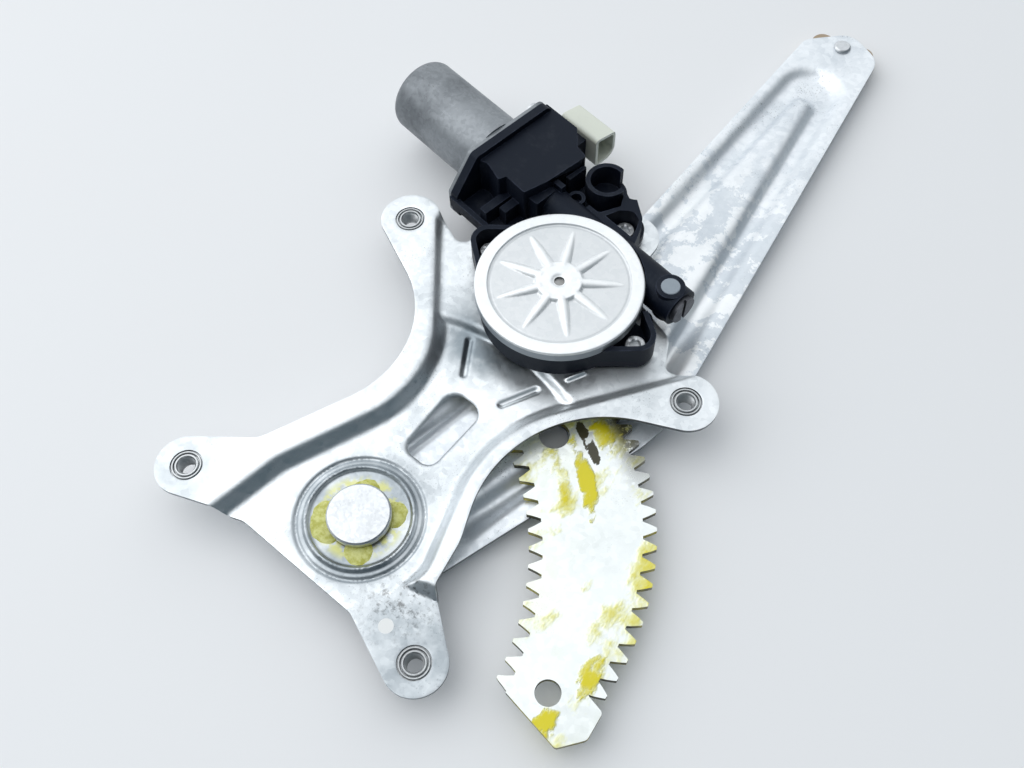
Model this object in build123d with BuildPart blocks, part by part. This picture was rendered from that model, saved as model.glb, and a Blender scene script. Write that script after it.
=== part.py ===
"""Single-arm power window regulator: pressed base plate, lift arm with gear sector, and geared motor.

Origin: pivot axis, at the lower end of the pivot rivet. +Y runs from the pivot to the motor's output
shaft, +X to the right with the motor side up, +Z towards the motor side. Millimetres throughout.
"""

import math
import os

from build123d import *

os.makedirs("parts", exist_ok=True)

# ---- gear pair -------------------------------------------------------------------------------
MODULE = 2.35
PINION_TEETH = 9
SECTOR_TEETH_FULL = 95          # teeth on the full circle that the sector is a slice of
PRESSURE_ANGLE = 25.0
PROFILE_SHIFT = 0.20            # out on the pinion, in on the sector
BACKLASH = 0.16
ROOT_CLEARANCE = 0.25           # share of the module
MESH_ANGLE = 90.0               # where the pinion sits, seen from the pivot
SECTOR_PHASE = 0.45             # turn of the tooth nearest the pinion from the centre line
CENTRES = MODULE * (PINION_TEETH + SECTOR_TEETH_FULL) / 2
OVERRUN = 1.0                   # how far a cut runs on past the face it opens
PRESS_OVERRUN = 0.2             # the same for a shallow press, which must not reach its neighbours

# ---- levels along Z --------------------------------------------------------------------------
FLANGE_Z = 20.0                 # upper face of the base plate's rim and upper ears
RECESS_DEPTH = 6.0
PLATEAU_DEPTH = 3.0             # the motor's seat lies this far below the rim
LOW_EAR_DEPTH = 5.0
PLATE_T = 1.6
ARM_T = 1.8
SECTOR_T = 2.8
SECTOR_GAP = 1.5                # air between the plate's recess and the sector
GROOVE_DEPTH = 4.2
FLOOR_Z = FLANGE_Z - RECESS_DEPTH
PLATEAU_Z = FLANGE_Z - PLATEAU_DEPTH
LOW_EAR_Z = FLANGE_Z - LOW_EAR_DEPTH
SECTOR_TOP = FLOOR_Z - PLATE_T - SECTOR_GAP
ARM_TOP = SECTOR_TOP - SECTOR_T
ARM_BOTTOM = ARM_TOP - ARM_T

# ---- base plate ------------------------------------------------------------------------------
NUTS = [
    (-78.6, 115.5, FLANGE_Z), (-65.4, -28.1, FLANGE_Z), (53.7, -28.1, LOW_EAR_Z), (68.9, 116.5, FLANGE_Z),
]
NUT_SEAT_R = 6.5
NUT_BORE_R = 3.4
NUT_H = 7.5
NUT_HEX_R = 7.6
NUT_CHAMFER = 0.7
WALL_SLOPE = 40.0               # of the recess walls, from the vertical
STEP_BACK = 29.7                # the step up to the motor's seat, back from the output shaft
STEP_R = CENTRES - STEP_BACK
PIVOT_RING_R = 26.0
PIVOT_RING_H = 2.0
PIVOT_DISH_R = 18.0
PRESS_SLOPE = 45.0              # of shallow pressed shapes
SLOT_RIM = 1.6
SLOT_RIM_DEPTH = 0.9
DART_DEPTH = 1.2
DART_W = 4.2
SPIGOT_R = 15.0
SPIGOT_FIT = 0.2
SCREW_R = 2.6                   # clearance holes of the motor screws

# ---- pivot -----------------------------------------------------------------------------------
PIVOT_HEAD_R = 12.6
PIVOT_HEAD_T = 3.0
PIVOT_HEAD_EDGE = 0.7
PIVOT_SHANK_R = 7.0
PIVOT_NECK_R = 5.5
PIVOT_RIVET_R = 10.0
PIVOT_RIVET_EDGE = 0.8
BUSH_WALL = 1.5
BUSH_FLANGE_R = 11.8
BUSH_FLANGE_T = 1.2
HEAD_GAP = 0.1
RUN_FIT = 0.05                  # radial clearance of running fits
WASHER_T = 1.2
WASHER_R = 12.0
PIVOT_HEAD_Z = FLOOR_Z + BUSH_FLANGE_T + HEAD_GAP
PIVOT_RIVET_T = ARM_BOTTOM - WASHER_T

# ---- lift arm --------------------------------------------------------------------------------
TIP_X = 10.9
TIP_Y = 337.2
TIP_PIN = (TIP_X, TIP_Y)
TIP_PIN_R = 4.0
TIP_NECK_R = 3.0
TIP_HEAD_R = 4.2
TIP_HEAD_T = 1.6
TIP_HEAD_EDGE = 0.8
TIP_END_R = 5.5
TIP_END_Z = 0.4
GROOVE_SLOPE = 45.0
APEX_HOLE = (12.0, TIP_Y - 50.2)
APEX_HOLE_L = 5.0
APEX_HOLE_W = 1.8
APEX_TURN = 68.0
SHOE_LENGTH = 36.0
SHOE_WIDTH = 15.0
SHOE_TILT = 10.0
SHOE_CORNER = 6.0
SHOE_EDGE = 1.0
SHOE_RECESS = 2.4
SHOE_PLAY = 0.3
SHOE_T = ARM_BOTTOM - SHOE_PLAY

# ---- gear sector -----------------------------------------------------------------------------
SECTOR_FIRST = -2               # teeth counted down from the one nearest the pinion
SECTOR_LAST = 23
NEXT_FIRST = 5
NEXT_LAST = 22
NEXT_BLANK = (-26.7, -36.3)     # shift between two blanks in the strip
SECTOR_HOLE_R = 6.2
SECTOR_END_HOLE_R = 4.8
SECTOR_RIVET_R = 3.0
RIVET_HEAD_R = 5.0
RIVET_HEAD_T = 1.6
PINION_Z = ARM_TOP + 0.4
PINION_TOP = SECTOR_TOP + 1.2

# ---- motor: wheel, shaft and axis --------------------------------------------------------------
MOTOR_TILT = -8.0               # of the armature axis from +X
WORM_OFFSET = 30.8              # armature axis from the output shaft
MOTOR_AXIS_Z = FLANGE_Z + 7.0
OUTPUT_SHAFT_R = 6.0
SHAFT_STUB_R = 4.0
WORM_ROOT_R = 3.3
WORM_BACK = -11.5
WORM_FRONT = 11.5
ARMATURE_SHAFT_R = 2.5
SHAFT_BACK = -124.2
SHAFT_FRONT = 36.5
WHEEL_TEETH = 72
WHEEL_T = 8.0
WHEEL_Z = MOTOR_AXIS_Z - WHEEL_T / 2
WHEEL_GAP = 0.3
WORM_GAP = 0.35
WHEEL_TIP_R = WORM_OFFSET - WORM_ROOT_R - WORM_GAP
WHEEL_NOTCH = 1.7               # side of the square whose corner cuts each tooth space
WHEEL_RIM = 4.0
WHEEL_HUB_R = 10.5
WHEEL_DISH = 1.5

# ---- gear cover --------------------------------------------------------------------------------
COVER_R = 35.0
COVER_TOP = FLANGE_Z + 15.0
COVER_T = 1.0
COVER_EDGE = 0.8
COVER_SKIRT_Z = COVER_TOP - 5.0
COVER_GAP = 0.3
COVER_STEP_R = 29.4
COVER_STEP = 1.2
COVER_STEP_SLOPE = 20.0
COVER_HUB_R = 11.6
COVER_HUB_H = 2.2
COVER_HUB_SLOPE = 40.0
COVER_HOLE_R = 2.2
COVER_RIBS = 9
COVER_RIB_START = 8.0
COVER_RIB_END = 27.4
COVER_RIB_W = 5.6
COVER_RIB_H = 1.3
COVER_RIB_SLOPE = 48.0
COVER_RIB_TURN = 35.5
SHAFT_STUB_TOP = COVER_TOP - 1.0

# ---- gear housing: case, lugs and tunnel ---------------------------------------------------------
CASE_R = 33.4
CASE_WALL = 2.4
CASE_TOP = COVER_TOP - COVER_T - 3.2
SPIGOT_Z = FLOOR_Z - 1.0
LUG_SPOTS = [(-38.2, 0.4), (0.4, 45.3), (38.4, 1.4)]        # of the screws, from the output shaft
LUGS = [(x, CENTRES + y) for x, y in LUG_SPOTS]
LUG_R = 7.8
LUG_WALL = 2.2
LUG_TOP = FLANGE_Z + 11.0
LUG_FLOOR_Z = FLANGE_Z
LUG_FOOT_R = 7.0
LUG_FOOT_H = 2.3
LUG_ROOT = 0.35                 # share of the way from the output shaft where the lug's root lies
LUG_ROOT_R = 23.0
HOUSING_Z = PLATEAU_Z + LUG_FOOT_H
TUNNEL_R = 8.4
NECK_R = 7.2
WORM_BORE_R = 5.9
TUNNEL_BACK = -40.0
TUNNEL_END = 39.5
TUNNEL_DEPTH = 37.0
TUNNEL_FOOT_R = 6.4
TUNNEL_SKIN = 0.5               # plastic left between the tunnel and the screw pockets
PLUG_S = 33.0
PLUG_BOSS_R = 6.0
PLUG_TOP = FLANGE_Z + 15.5
PLUG_R = 4.0
PLUG_DEPTH = 1.5
PLUG_STAND = 0.3
EYELET = (32.6, CENTRES + 14.2)
EYELET_R = 4.4
EYELET_HOLE_R = 2.7
EYELET_TOP = HOUSING_Z + 2.0
EYELET_ROOT = 0.8               # share of the way from the output shaft where the eyelet's root lies

# ---- gear housing: everything below lies along (s) and across (n) the armature axis ----------------
BOX_TOP = FLANGE_Z + 20.0
BOX_BOTTOM = FLANGE_Z - 8.0
CAN_FRONT = 71.0
RIM_T = 4.0
BRUSH_CHAMBER = 11.5
BRUSH_CHAMBER_DEPTH = 30.0
CUP = (-25.0, 21.6)
CUP_R = 9.3
CUP_WALL = 2.0
CUP_TOP = FLANGE_Z + 14.0
CUP_LOW = FLANGE_Z + 5.0
CUP_CUT = (-15.7, 30.9)         # round bite that lowers the far side of the cup
CUP_CUT_R = 8.3
WEB_TOP = FLANGE_Z + 3.0
BOSS = (-28.3, 6.4)
BOSS_R = 3.9
BOSS_HOLE_R = 2.4
BOSS_TOP = FLANGE_Z + 11.5
BOSS_DEPTH = 4.0
LEDGES = [(-10.4, 0.8), (9.2, 19.4)]      # from and to, across
LEDGE_BACK = -41.0
LEDGE_FRONT = -35.3
LEDGE_TOP = FLANGE_Z + 15.0
LEDGE_CORNER = 0.6
TAB = (2.0, 4.6)
TAB_FRONT = -33.2
TAB_TOP = FLANGE_Z + 17.0
SIDE_WALL = (-30.0, -27.6)
SIDE_WALL_TOP = FLANGE_Z + 5.0
SIDE_WALL_END = -40.0
DECK_T = 2.0
SLATS = [(-52.0, -26.8), (-46.5, -20.4)]  # place along, and reach across
SLAT_W = 4.0
SLAT_TOP = FLANGE_Z + 9.5
NECK_BLOCK = (-68.0, -52.0)

# ---- motor can and what turns in it ----------------------------------------------------------------
CAN_R = 17.2
CAN_WALL = 1.6
CAN_BACK = 127.0                # closed end of the can, back from the foot of the output axis
CAN_FLANGE_T = 1.6
CAN_EDGE_R = 4.5
CAN_SCREWS = [(CAN_R + 7.9, 23.5), (CAN_R + 6.2, 200.0)]    # radius and turn
CAN_SCREW_R = 2.0
CAN_SCREW_HEAD_R = 4.0
CAN_SCREW_HEAD_T = 2.6
CAN_SCREW_FIT = 0.05
MAGNET_R = CAN_R - CAN_WALL - 0.15
MAGNET_T = 3.4
MAGNET_ANGLE = 120.0
CORE_R = MAGNET_R - MAGNET_T - 1.4
CORE_BACK = -112.0
CORE_FRONT = -84.0
COIL_R = CORE_R - 2.0
COIL_OVERHANG = 6.0
COMMUTATOR_R = 6.0
COMMUTATOR_BACK = -75.5
COMMUTATOR_FRONT = -63.0
BEARING_R = 6.2
BEARING_L = 5.0
BUSH_SPOTS = [-39.5, 28.0]
BUSH_L = 6.0
BRUSH_PLATE_T = 2.0
BRUSH_PLATE_BACK = -71.0
BRUSH_GAP = 0.1
BRUSH_W = 4.0
BRUSH_H = 5.0
BRUSH_L = 4.6
HOLDER_GAP = 1.0
END_SCREW_R = 6.2
END_SHANK_R = 4.5
END_SCREW_T = 2.0
END_SLOT_W = 1.6
END_SLOT_DEPTH = 1.0
END_GAP = 0.1

# ---- connector and screws --------------------------------------------------------------------------
CONNECTOR_BACK = -68.5
CONNECTOR_MOUTH = -45.5
CONNECTOR_N = 35.6
CONNECTOR_OUT = 48.2
CONNECTOR_BOTTOM = FLANGE_Z - 7.0
CONNECTOR_TOP = FLANGE_Z + 11.0
CONNECTOR_DROP = 2.6            # the top slopes down to the outer side
CONNECTOR_WALL = 1.6
CONNECTOR_DEPTH = 18.0
PIN_W = 1.2
PIN_T = 0.7
PIN_LENGTH = 12.0
PIN_SPOTS = [38.5, 41.0, 43.5, 46.0]
MOTOR_SCREW_R = 2.5
MOTOR_SCREW_HEAD_R = 4.2
MOTOR_SCREW_HEAD_T = 3.4
MOTOR_SCREW_LENGTH = 8.5
DRIVE_R = 2.2
DRIVE_DEPTH = 2.0

MOTOR_DIR = Vector(math.cos(math.radians(MOTOR_TILT)), math.sin(math.radians(MOTOR_TILT)), 0)
MOTOR_SIDE = Vector(-MOTOR_DIR.Y, MOTOR_DIR.X, 0)
MOTOR_FOOT = Vector(0, CENTRES, 0) + MOTOR_SIDE * WORM_OFFSET


def motor_level(z):
    """Plane at height z whose X runs along the armature and Y away from the output shaft."""
    return Plane(origin=MOTOR_FOOT + Vector(0, 0, z), x_dir=MOTOR_DIR, z_dir=(0, 0, 1))


def across_motor(s):
    """Plane across the armature at s along it: its X is the side direction, its Y is up."""
    spot = MOTOR_FOOT + MOTOR_DIR * s + Vector(0, 0, MOTOR_AXIS_Z)
    return Plane(origin=spot, x_dir=MOTOR_SIDE, z_dir=MOTOR_DIR)


def polar(radius, degrees):
    """Point at a radius and turn."""
    return (radius * math.cos(math.radians(degrees)), radius * math.sin(math.radians(degrees)))


def save(part, name):
    """Label a finished piece and write it."""
    part.label = name
    export_step(part, f"parts/{name}.step")


def rounded(corners):
    """Closed outline through corners given as x, y and the radius that rounds each."""
    points = [(x, y) for x, y, _ in corners]
    radii = [r for _, _, r in corners]
    return FilletPolyline(*points, radius=radii, close=True)


# ---- gear teeth ------------------------------------------------------------------------------
def involute(angle):
    """Involute function of a pressure angle in radians."""
    return math.tan(angle) - angle


def tooth_points(teeth, shift, radii):
    """Half tooth angle, in radians, at each radius of an involute gear."""
    alpha = math.radians(PRESSURE_ANGLE)
    pitch_r = MODULE * teeth / 2
    base_r = pitch_r * math.cos(alpha)
    half_pitch = (MODULE * (math.pi / 2 + 2 * shift * math.tan(alpha)) - BACKLASH / 2) / (2 * pitch_r)
    halves = []
    for r in radii:
        reach = max(r, base_r)
        halves.append(half_pitch + involute(alpha) - involute(math.acos(base_r / reach)))
    return halves


def tooth(teeth, shift, root_r, tip_r, at_deg):
    """Face of one tooth, centred on at_deg, with its foot sunk a little below the root circle.

    Each flank is the arc through its involute's foot, middle and tip.
    """
    base_r = MODULE * teeth / 2 * math.cos(math.radians(PRESSURE_ANGLE))
    low = max(root_r, base_r)
    radii = [low, (low + tip_r) / 2, tip_r]
    halves = tooth_points(teeth, shift, radii)
    foot_r = root_r - FOOT
    mid = math.radians(at_deg)

    def spot(r, turn):
        return (r * math.cos(mid + turn), r * math.sin(mid + turn))

    right = [spot(r, -h) for r, h in zip(radii, halves)]
    left = [spot(r, h) for r, h in zip(radii, halves)]
    with BuildSketch() as face:
        with BuildLine():
            ThreePointArc(*right)
            ThreePointArc(*left)
            Line(right[-1], left[-1])
            Line(right[0], spot(foot_r, -halves[0]))
            Line(left[0], spot(foot_r, halves[0]))
            Line(spot(foot_r, -halves[0]), spot(foot_r, halves[0]))
        make_face()
    return face.sketch


FOOT = 0.4
SECTOR_TIP_R = MODULE * (SECTOR_TEETH_FULL / 2 + 1 - PROFILE_SHIFT)
SECTOR_ROOT_R = MODULE * (SECTOR_TEETH_FULL / 2 - 1 - ROOT_CLEARANCE - PROFILE_SHIFT)
PINION_TIP_R = MODULE * (PINION_TEETH / 2 + 1 + PROFILE_SHIFT)
PINION_ROOT_R = MODULE * (PINION_TEETH / 2 - 1 - ROOT_CLEARANCE + PROFILE_SHIFT)
SECTOR_PITCH = 360 / SECTOR_TEETH_FULL
PINION_PITCH = 360 / PINION_TEETH

# ---- outlines: corners as x, y and the radius that rounds them -----------------------------------
PLATE_OUTLINE = [
    (-84.9, 132.9, 12.9), (-96.1, 109.5, 12.9), (-20.0, 75.0, 46), (-52.0, -1.9, 10),
    (-81.6, -24.8, 12.3), (-71.0, -43.6, 12.3), (-34.0, -29.3, 10), (23.0, -29.3, 8),
    (59.7, -43.4, 12.1), (69.7, -24.6, 12.1), (41.6, -3.3, 6), (37.8, 15.5, 30),
    (11.3, 76.2, 54), (86.2, 110.2, 12.8), (75.2, 133.8, 12.8), (53.5, CENTRES + 1.4, 4),
    (46.0, CENTRES + 15.8, 8), (16.0, CENTRES + 25.8, 10), (14.0, CENTRES + 59.8, 12),
    (-16.0, CENTRES + 60.8, 12), (-22.0, CENTRES + 23.8, 10), (-53.0, CENTRES + 16.8, 9),
    (-50.5, CENTRES - 3.9, 5),
]
RECESS_OUTLINE = [
    (-66.0, 126.0, 2), (-10.6, 60.6, 52), (-36.5, -5.0, 12), (-43.0, -50.0, 2),
    (27.0, -50.0, 2), (31.5, 0.0, 14), (11.1, 58.7, 60), (66.0, 139.5, 2),
    (60.0, 200.0, 2), (-66.0, 200.0, 2),
]
LOW_EAR_OUTLINE = [(24.0, -50.0, 2), (80.0, -50.0, 2), (80.0, -10.0, 2), (50.0, -5.0, 8), (25.0, -12.0, 8)]
SLOT_OUTLINE = [(-9.4, 65.0, 6), (-7.4, 32.2, 5), (7.0, 32.2, 5), (7.0, 65.0, 6)]
DARTS = [((-20.3, 86.0), (-10.6, 73.0)), ((18.6, 87.4), (10.4, 72.0))]
ARM_OUTLINE = [
    (-31.1, -28.0, 24), (27.3, -28.0, 21), (67.4, 103.9, 60), (29.6, TIP_Y + 3.3, 12),
    (9.5, TIP_Y + 11.4, 10), (-6.9, TIP_Y - 6.2, 8), (-3.3, 150.0, 60),
]
GROOVE_OUTER = [
    (-15.0, 34.0, 3), (31.5, 20.0, 3), (54.5, 114.0, 20), (23.7, TIP_Y - 23.1, 11), (1.9, TIP_Y - 23.1, 11),
    (5.0, 150.0, 60),
]
GROOVE_ISLAND = [
    (-10.5, 12.0, 1), (24.5, 12.0, 1), (27.6, 21.0, 1), (50.6, 115.0, 16), (21.2, TIP_Y - 38.2, 5),
    (8.8, TIP_Y - 38.2, 5), (9.2, 150.0, 40), (-10.5, 30.0, 2),
]
SECTOR_RIVETS = [
    polar(SECTOR_ROOT_R - 19.6, 83.5), polar(SECTOR_ROOT_R - 8.6, 72.5), polar(SECTOR_ROOT_R - 4.3, 82.3),
]
SECTOR_HOLE = polar(SECTOR_ROOT_R - 24.9, 65.4)
SECTOR_END_HOLE = (SECTOR_TIP_R - 17.0, -5.4)
SECTOR_OUTLINE = [
    (SECTOR_TIP_R - 43.5, -9.5, 1), (SECTOR_TIP_R - 33.9, -13.0, 1), (SECTOR_TIP_R - 27.5, -14.9, 3),
    (140.0, -22.6, 1), (140.0, 130.0, 1), (-22.5, 128.0, 1), (-11.5, 62.0, 1), (40.0, 10.0, 1),
]
SECTOR_END = [
    (SECTOR_TIP_R - 29.5, -14.6, 1), (SECTOR_TIP_R - 3.3, -18.5, 1.5), (SECTOR_TIP_R + 3.5, -9.4, 3),
    (SECTOR_TIP_R + 2.1, 1.4, 1.5), (SECTOR_TIP_R - 7.5, 3.4, 1), (SECTOR_TIP_R - 29.5, 0.0, 1),
]
BOX_OUTLINE = [
    (-71.0, 28.9, 0.5), (-51.5, 28.9, 1), (-43.5, 21.4, 1), (-37.0, 20.3, 1), (-38.4, -1.5, 1),
    (-40.9, -12.7, 1), (-52.4, -12.3, 0.5), (-53.8, -15.8, 1), (-63.5, -13.3, 1), (-71.0, -16.0, 0.5),
]
RIM_OUTLINE = [
    (-29.0, -13.0, 3), (-29.0, 0.0, 3), (-16.0, 16.0, 3), (28.0, 16.0, 4), (28.0, -8.0, 4), (19.0, -16.0, 3),
    (-22.0, -16.0, 3),
]
UPPER_LUG = [
    (-22.0, 26.0, 1), (-11.6, 26.1, 1.5), (-7.0, 23.1, 2), (-1.4, 19.6, 4), (1.9, 15.4, 4), (7.0, 5.0, 1),
    (-22.0, 5.0, 1),
]
UPPER_POCKET = [
    (-14.8, 4.0, 0.5), (-11.0, 15.6, 2), (-6.4, 19.6, 3.4), (-1.6, 17.8, 3.4), (0.6, 14.0, 2),
    (4.6, 4.0, 0.5),
]
UPPER_RELIEF = [(-24.0, 8.0, 1), (-16.2, 8.0, 0.5), (-12.2, 17.4, 1.5), (-15.6, 22.6, 1.5), (-24.0, 22.6, 1)]
WEB_SPOTS = [(-7.0, 14.5, 9.0), (-34.0, 0.0, 9.3)]          # place along, across and radius
CONNECTOR_PROFILE = [
    (CONNECTOR_N, CONNECTOR_BOTTOM + 1.0, 2), (CONNECTOR_N, CONNECTOR_TOP, 2),
    (CONNECTOR_OUT, CONNECTOR_TOP - CONNECTOR_DROP, 2.5), (CONNECTOR_OUT, CONNECTOR_BOTTOM, 6),
]

WALL_RUN = (PLATEAU_Z - FLOOR_Z) * math.tan(math.radians(WALL_SLOPE))
BELOW = 12.0                    # depth of the blank under the recess, cut away again
with BuildPart() as base_plate:
    with BuildSketch(Plane.XY.offset(FLOOR_Z - BELOW)) as blank:
        with BuildLine():
            rounded(PLATE_OUTLINE)
        make_face()
    extrude(amount=RECESS_DEPTH + BELOW)
    # motor seat, one step below the rim
    with BuildSketch(Plane.XY.offset(PLATEAU_Z)) as seat:
        with BuildLine():
            rounded(RECESS_OUTLINE)
        make_face()
        offset(amount=WALL_RUN)
    extrude(amount=PLATEAU_DEPTH + OVERRUN, taper=-WALL_SLOPE, mode=Mode.SUBTRACT)
    # deeper floor round the pivot
    with BuildSketch(Plane.XY.offset(FLOOR_Z)) as floor:
        with BuildLine():
            rounded(RECESS_OUTLINE)
        make_face()
        Circle(STEP_R, mode=Mode.INTERSECT)
    extrude(amount=RECESS_DEPTH + OVERRUN, taper=-WALL_SLOPE, mode=Mode.SUBTRACT)
    # lower ear
    with BuildSketch(Plane.XY.offset(LOW_EAR_Z)) as low_ear:
        with BuildLine():
            rounded(LOW_EAR_OUTLINE)
        make_face()
    extrude(amount=LOW_EAR_DEPTH + OVERRUN, taper=-WALL_SLOPE, mode=Mode.SUBTRACT)
    # raised ring and dish round the pivot
    with BuildSketch(Plane.XY.offset(FLOOR_Z)):
        Circle(PIVOT_RING_R)
    extrude(amount=PIVOT_RING_H, taper=PRESS_SLOPE)
    with BuildSketch(Plane.XY.offset(FLOOR_Z)):
        Circle(PIVOT_DISH_R)
    extrude(amount=PIVOT_RING_H + OVERRUN, taper=-PRESS_SLOPE, mode=Mode.SUBTRACT)
    # pressed darts that stiffen the step
    for start, end in DARTS:
        middle = ((start[0] + end[0]) / 2, (start[1] + end[1]) / 2)
        run = math.dist(start, end)
        turn = math.degrees(math.atan2(end[1] - start[1], end[0] - start[0]))
        with BuildSketch(Plane.XY.offset(FLOOR_Z - DART_DEPTH)):
            with Locations(Location(middle, turn)):
                SlotCenterToCenter(run - DART_W, DART_W - 2 * DART_DEPTH)
        extrude(amount=DART_DEPTH + PRESS_OVERRUN, taper=-PRESS_SLOPE, mode=Mode.SUBTRACT)
    # drawn rim of the slot
    with BuildSketch(Plane.XY.offset(FLOOR_Z - SLOT_RIM_DEPTH)):
        with BuildLine():
            rounded(SLOT_OUTLINE)
        make_face()
        offset(amount=SLOT_RIM - SLOT_RIM_DEPTH)
    extrude(amount=SLOT_RIM_DEPTH + PRESS_OVERRUN, taper=-PRESS_SLOPE, mode=Mode.SUBTRACT)
    # the sheet is what is left above the same shape one thickness lower
    lower = base_plate.part.moved(Location((0, 0, -PLATE_T)))
    add(lower, mode=Mode.SUBTRACT)
    # holes: pivot, pinion, slot, nuts, motor screws
    with BuildSketch(Plane.XY):
        Circle(PIVOT_SHANK_R + BUSH_WALL)
        with Locations((0, CENTRES)):
            Circle(SPIGOT_R + SPIGOT_FIT)
        with Locations([(x, y) for x, y, _ in NUTS]):
            Circle(NUT_SEAT_R)
        with Locations(LUGS):
            Circle(SCREW_R)
        with BuildLine():
            rounded(SLOT_OUTLINE)
        make_face()
    extrude(amount=FLANGE_Z + OVERRUN, mode=Mode.SUBTRACT)
save(base_plate.part, "base_plate")

# ---- clinch nuts in the four ears ------------------------------------------------------------
with BuildPart() as clinch_nuts:
    for x, y, z in NUTS:
        with BuildSketch(Plane.XY.offset(z - NUT_H)):
            with Locations((x, y)):
                RegularPolygon(NUT_HEX_R, 6)
        extrude(amount=NUT_H - PLATE_T)
        with BuildSketch(Plane.XY.offset(z - PLATE_T)):
            with Locations((x, y)):
                Circle(NUT_SEAT_R)
        extrude(amount=PLATE_T)
        with BuildSketch(Plane.XY.offset(z - NUT_H)):
            with Locations((x, y)):
                Circle(NUT_BORE_R)
        extrude(amount=NUT_H, mode=Mode.SUBTRACT)
        with BuildSketch(Plane.XY.offset(z - NUT_CHAMFER)):
            with Locations((x, y)):
                Circle(NUT_BORE_R)
        extrude(amount=NUT_CHAMFER, taper=-PRESS_SLOPE, mode=Mode.SUBTRACT)
save(clinch_nuts.part, "clinch_nuts")

# ---- pivot: bush, head, washer ---------------------------------------------------------------
with BuildPart() as pivot_bush:
    with BuildSketch(Plane.XY.offset(FLOOR_Z)):
        Circle(BUSH_FLANGE_R)
    extrude(amount=BUSH_FLANGE_T)
    with BuildSketch(Plane.XY.offset(ARM_TOP + BUSH_FLANGE_T)):
        Circle(PIVOT_SHANK_R + BUSH_WALL)
    extrude(amount=FLOOR_Z - ARM_TOP - BUSH_FLANGE_T)
    with BuildSketch(Plane.XY.offset(ARM_TOP)):
        Circle(PIVOT_SHANK_R + RUN_FIT)
    extrude(amount=FLANGE_Z, mode=Mode.SUBTRACT)
save(pivot_bush.part, "pivot_bush")

with BuildPart() as pivot_pin:
    with BuildSketch(Plane.XY.offset(ARM_TOP)):
        Circle(PIVOT_SHANK_R)
    extrude(amount=PIVOT_HEAD_Z - ARM_TOP)
    with BuildSketch(Plane.XY.offset(PIVOT_HEAD_Z)):
        Circle(PIVOT_HEAD_R)
    extrude(amount=PIVOT_HEAD_T)
    chamfer(pivot_pin.faces().sort_by(Axis.Z)[-1].edges(), length=PIVOT_HEAD_EDGE)
    with BuildSketch(Plane.XY):
        Circle(PIVOT_NECK_R)
    extrude(amount=ARM_TOP)
    with BuildSketch(Plane.XY):
        Circle(PIVOT_RIVET_R)
    extrude(amount=PIVOT_RIVET_T)
    chamfer(pivot_pin.faces().sort_by(Axis.Z)[0].edges(), length=PIVOT_RIVET_EDGE)
save(pivot_pin.part, "pivot_pin")

with BuildPart() as pivot_washer:
    with BuildSketch(Plane.XY.offset(PIVOT_RIVET_T)):
        Circle(WASHER_R)
        Circle(PIVOT_NECK_R + RUN_FIT, mode=Mode.SUBTRACT)
    extrude(amount=ARM_BOTTOM - PIVOT_RIVET_T)
save(pivot_washer.part, "pivot_washer")

# ---- lift arm --------------------------------------------------------------------------------
with BuildPart() as lift_arm:
    with BuildSketch(Plane.XY.offset(-ARM_T)):
        with BuildLine():
            rounded(ARM_OUTLINE)
        make_face()
    extrude(amount=ARM_TOP + ARM_T)
    # one forked groove, pressed away from the plate, round a raised island
    with BuildSketch(Plane.XY.offset(ARM_TOP - GROOVE_DEPTH)):
        with BuildLine():
            rounded(GROOVE_OUTER)
        make_face()
    extrude(amount=GROOVE_DEPTH + PRESS_OVERRUN, taper=-GROOVE_SLOPE, mode=Mode.SUBTRACT)
    with BuildSketch(Plane.XY.offset(ARM_TOP - GROOVE_DEPTH)):
        with BuildLine():
            rounded(GROOVE_ISLAND)
        make_face()
    extrude(amount=GROOVE_DEPTH, taper=GROOVE_SLOPE)
    lower_arm = lift_arm.part.moved(Location((0, 0, -ARM_T)))
    add(lower_arm, mode=Mode.SUBTRACT)
    with BuildSketch(Plane.XY):
        Circle(PIVOT_NECK_R)
        with Locations(TIP_PIN):
            Circle(TIP_NECK_R)
        with Locations(SECTOR_RIVETS):
            Circle(SECTOR_RIVET_R)
        with Locations(SECTOR_HOLE):
            Circle(SECTOR_HOLE_R)
        with Locations(Location(APEX_HOLE, APEX_TURN)):
            SlotOverall(APEX_HOLE_L, APEX_HOLE_W)
    extrude(amount=ARM_TOP + OVERRUN, mode=Mode.SUBTRACT)
save(lift_arm.part, "lift_arm")

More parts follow.
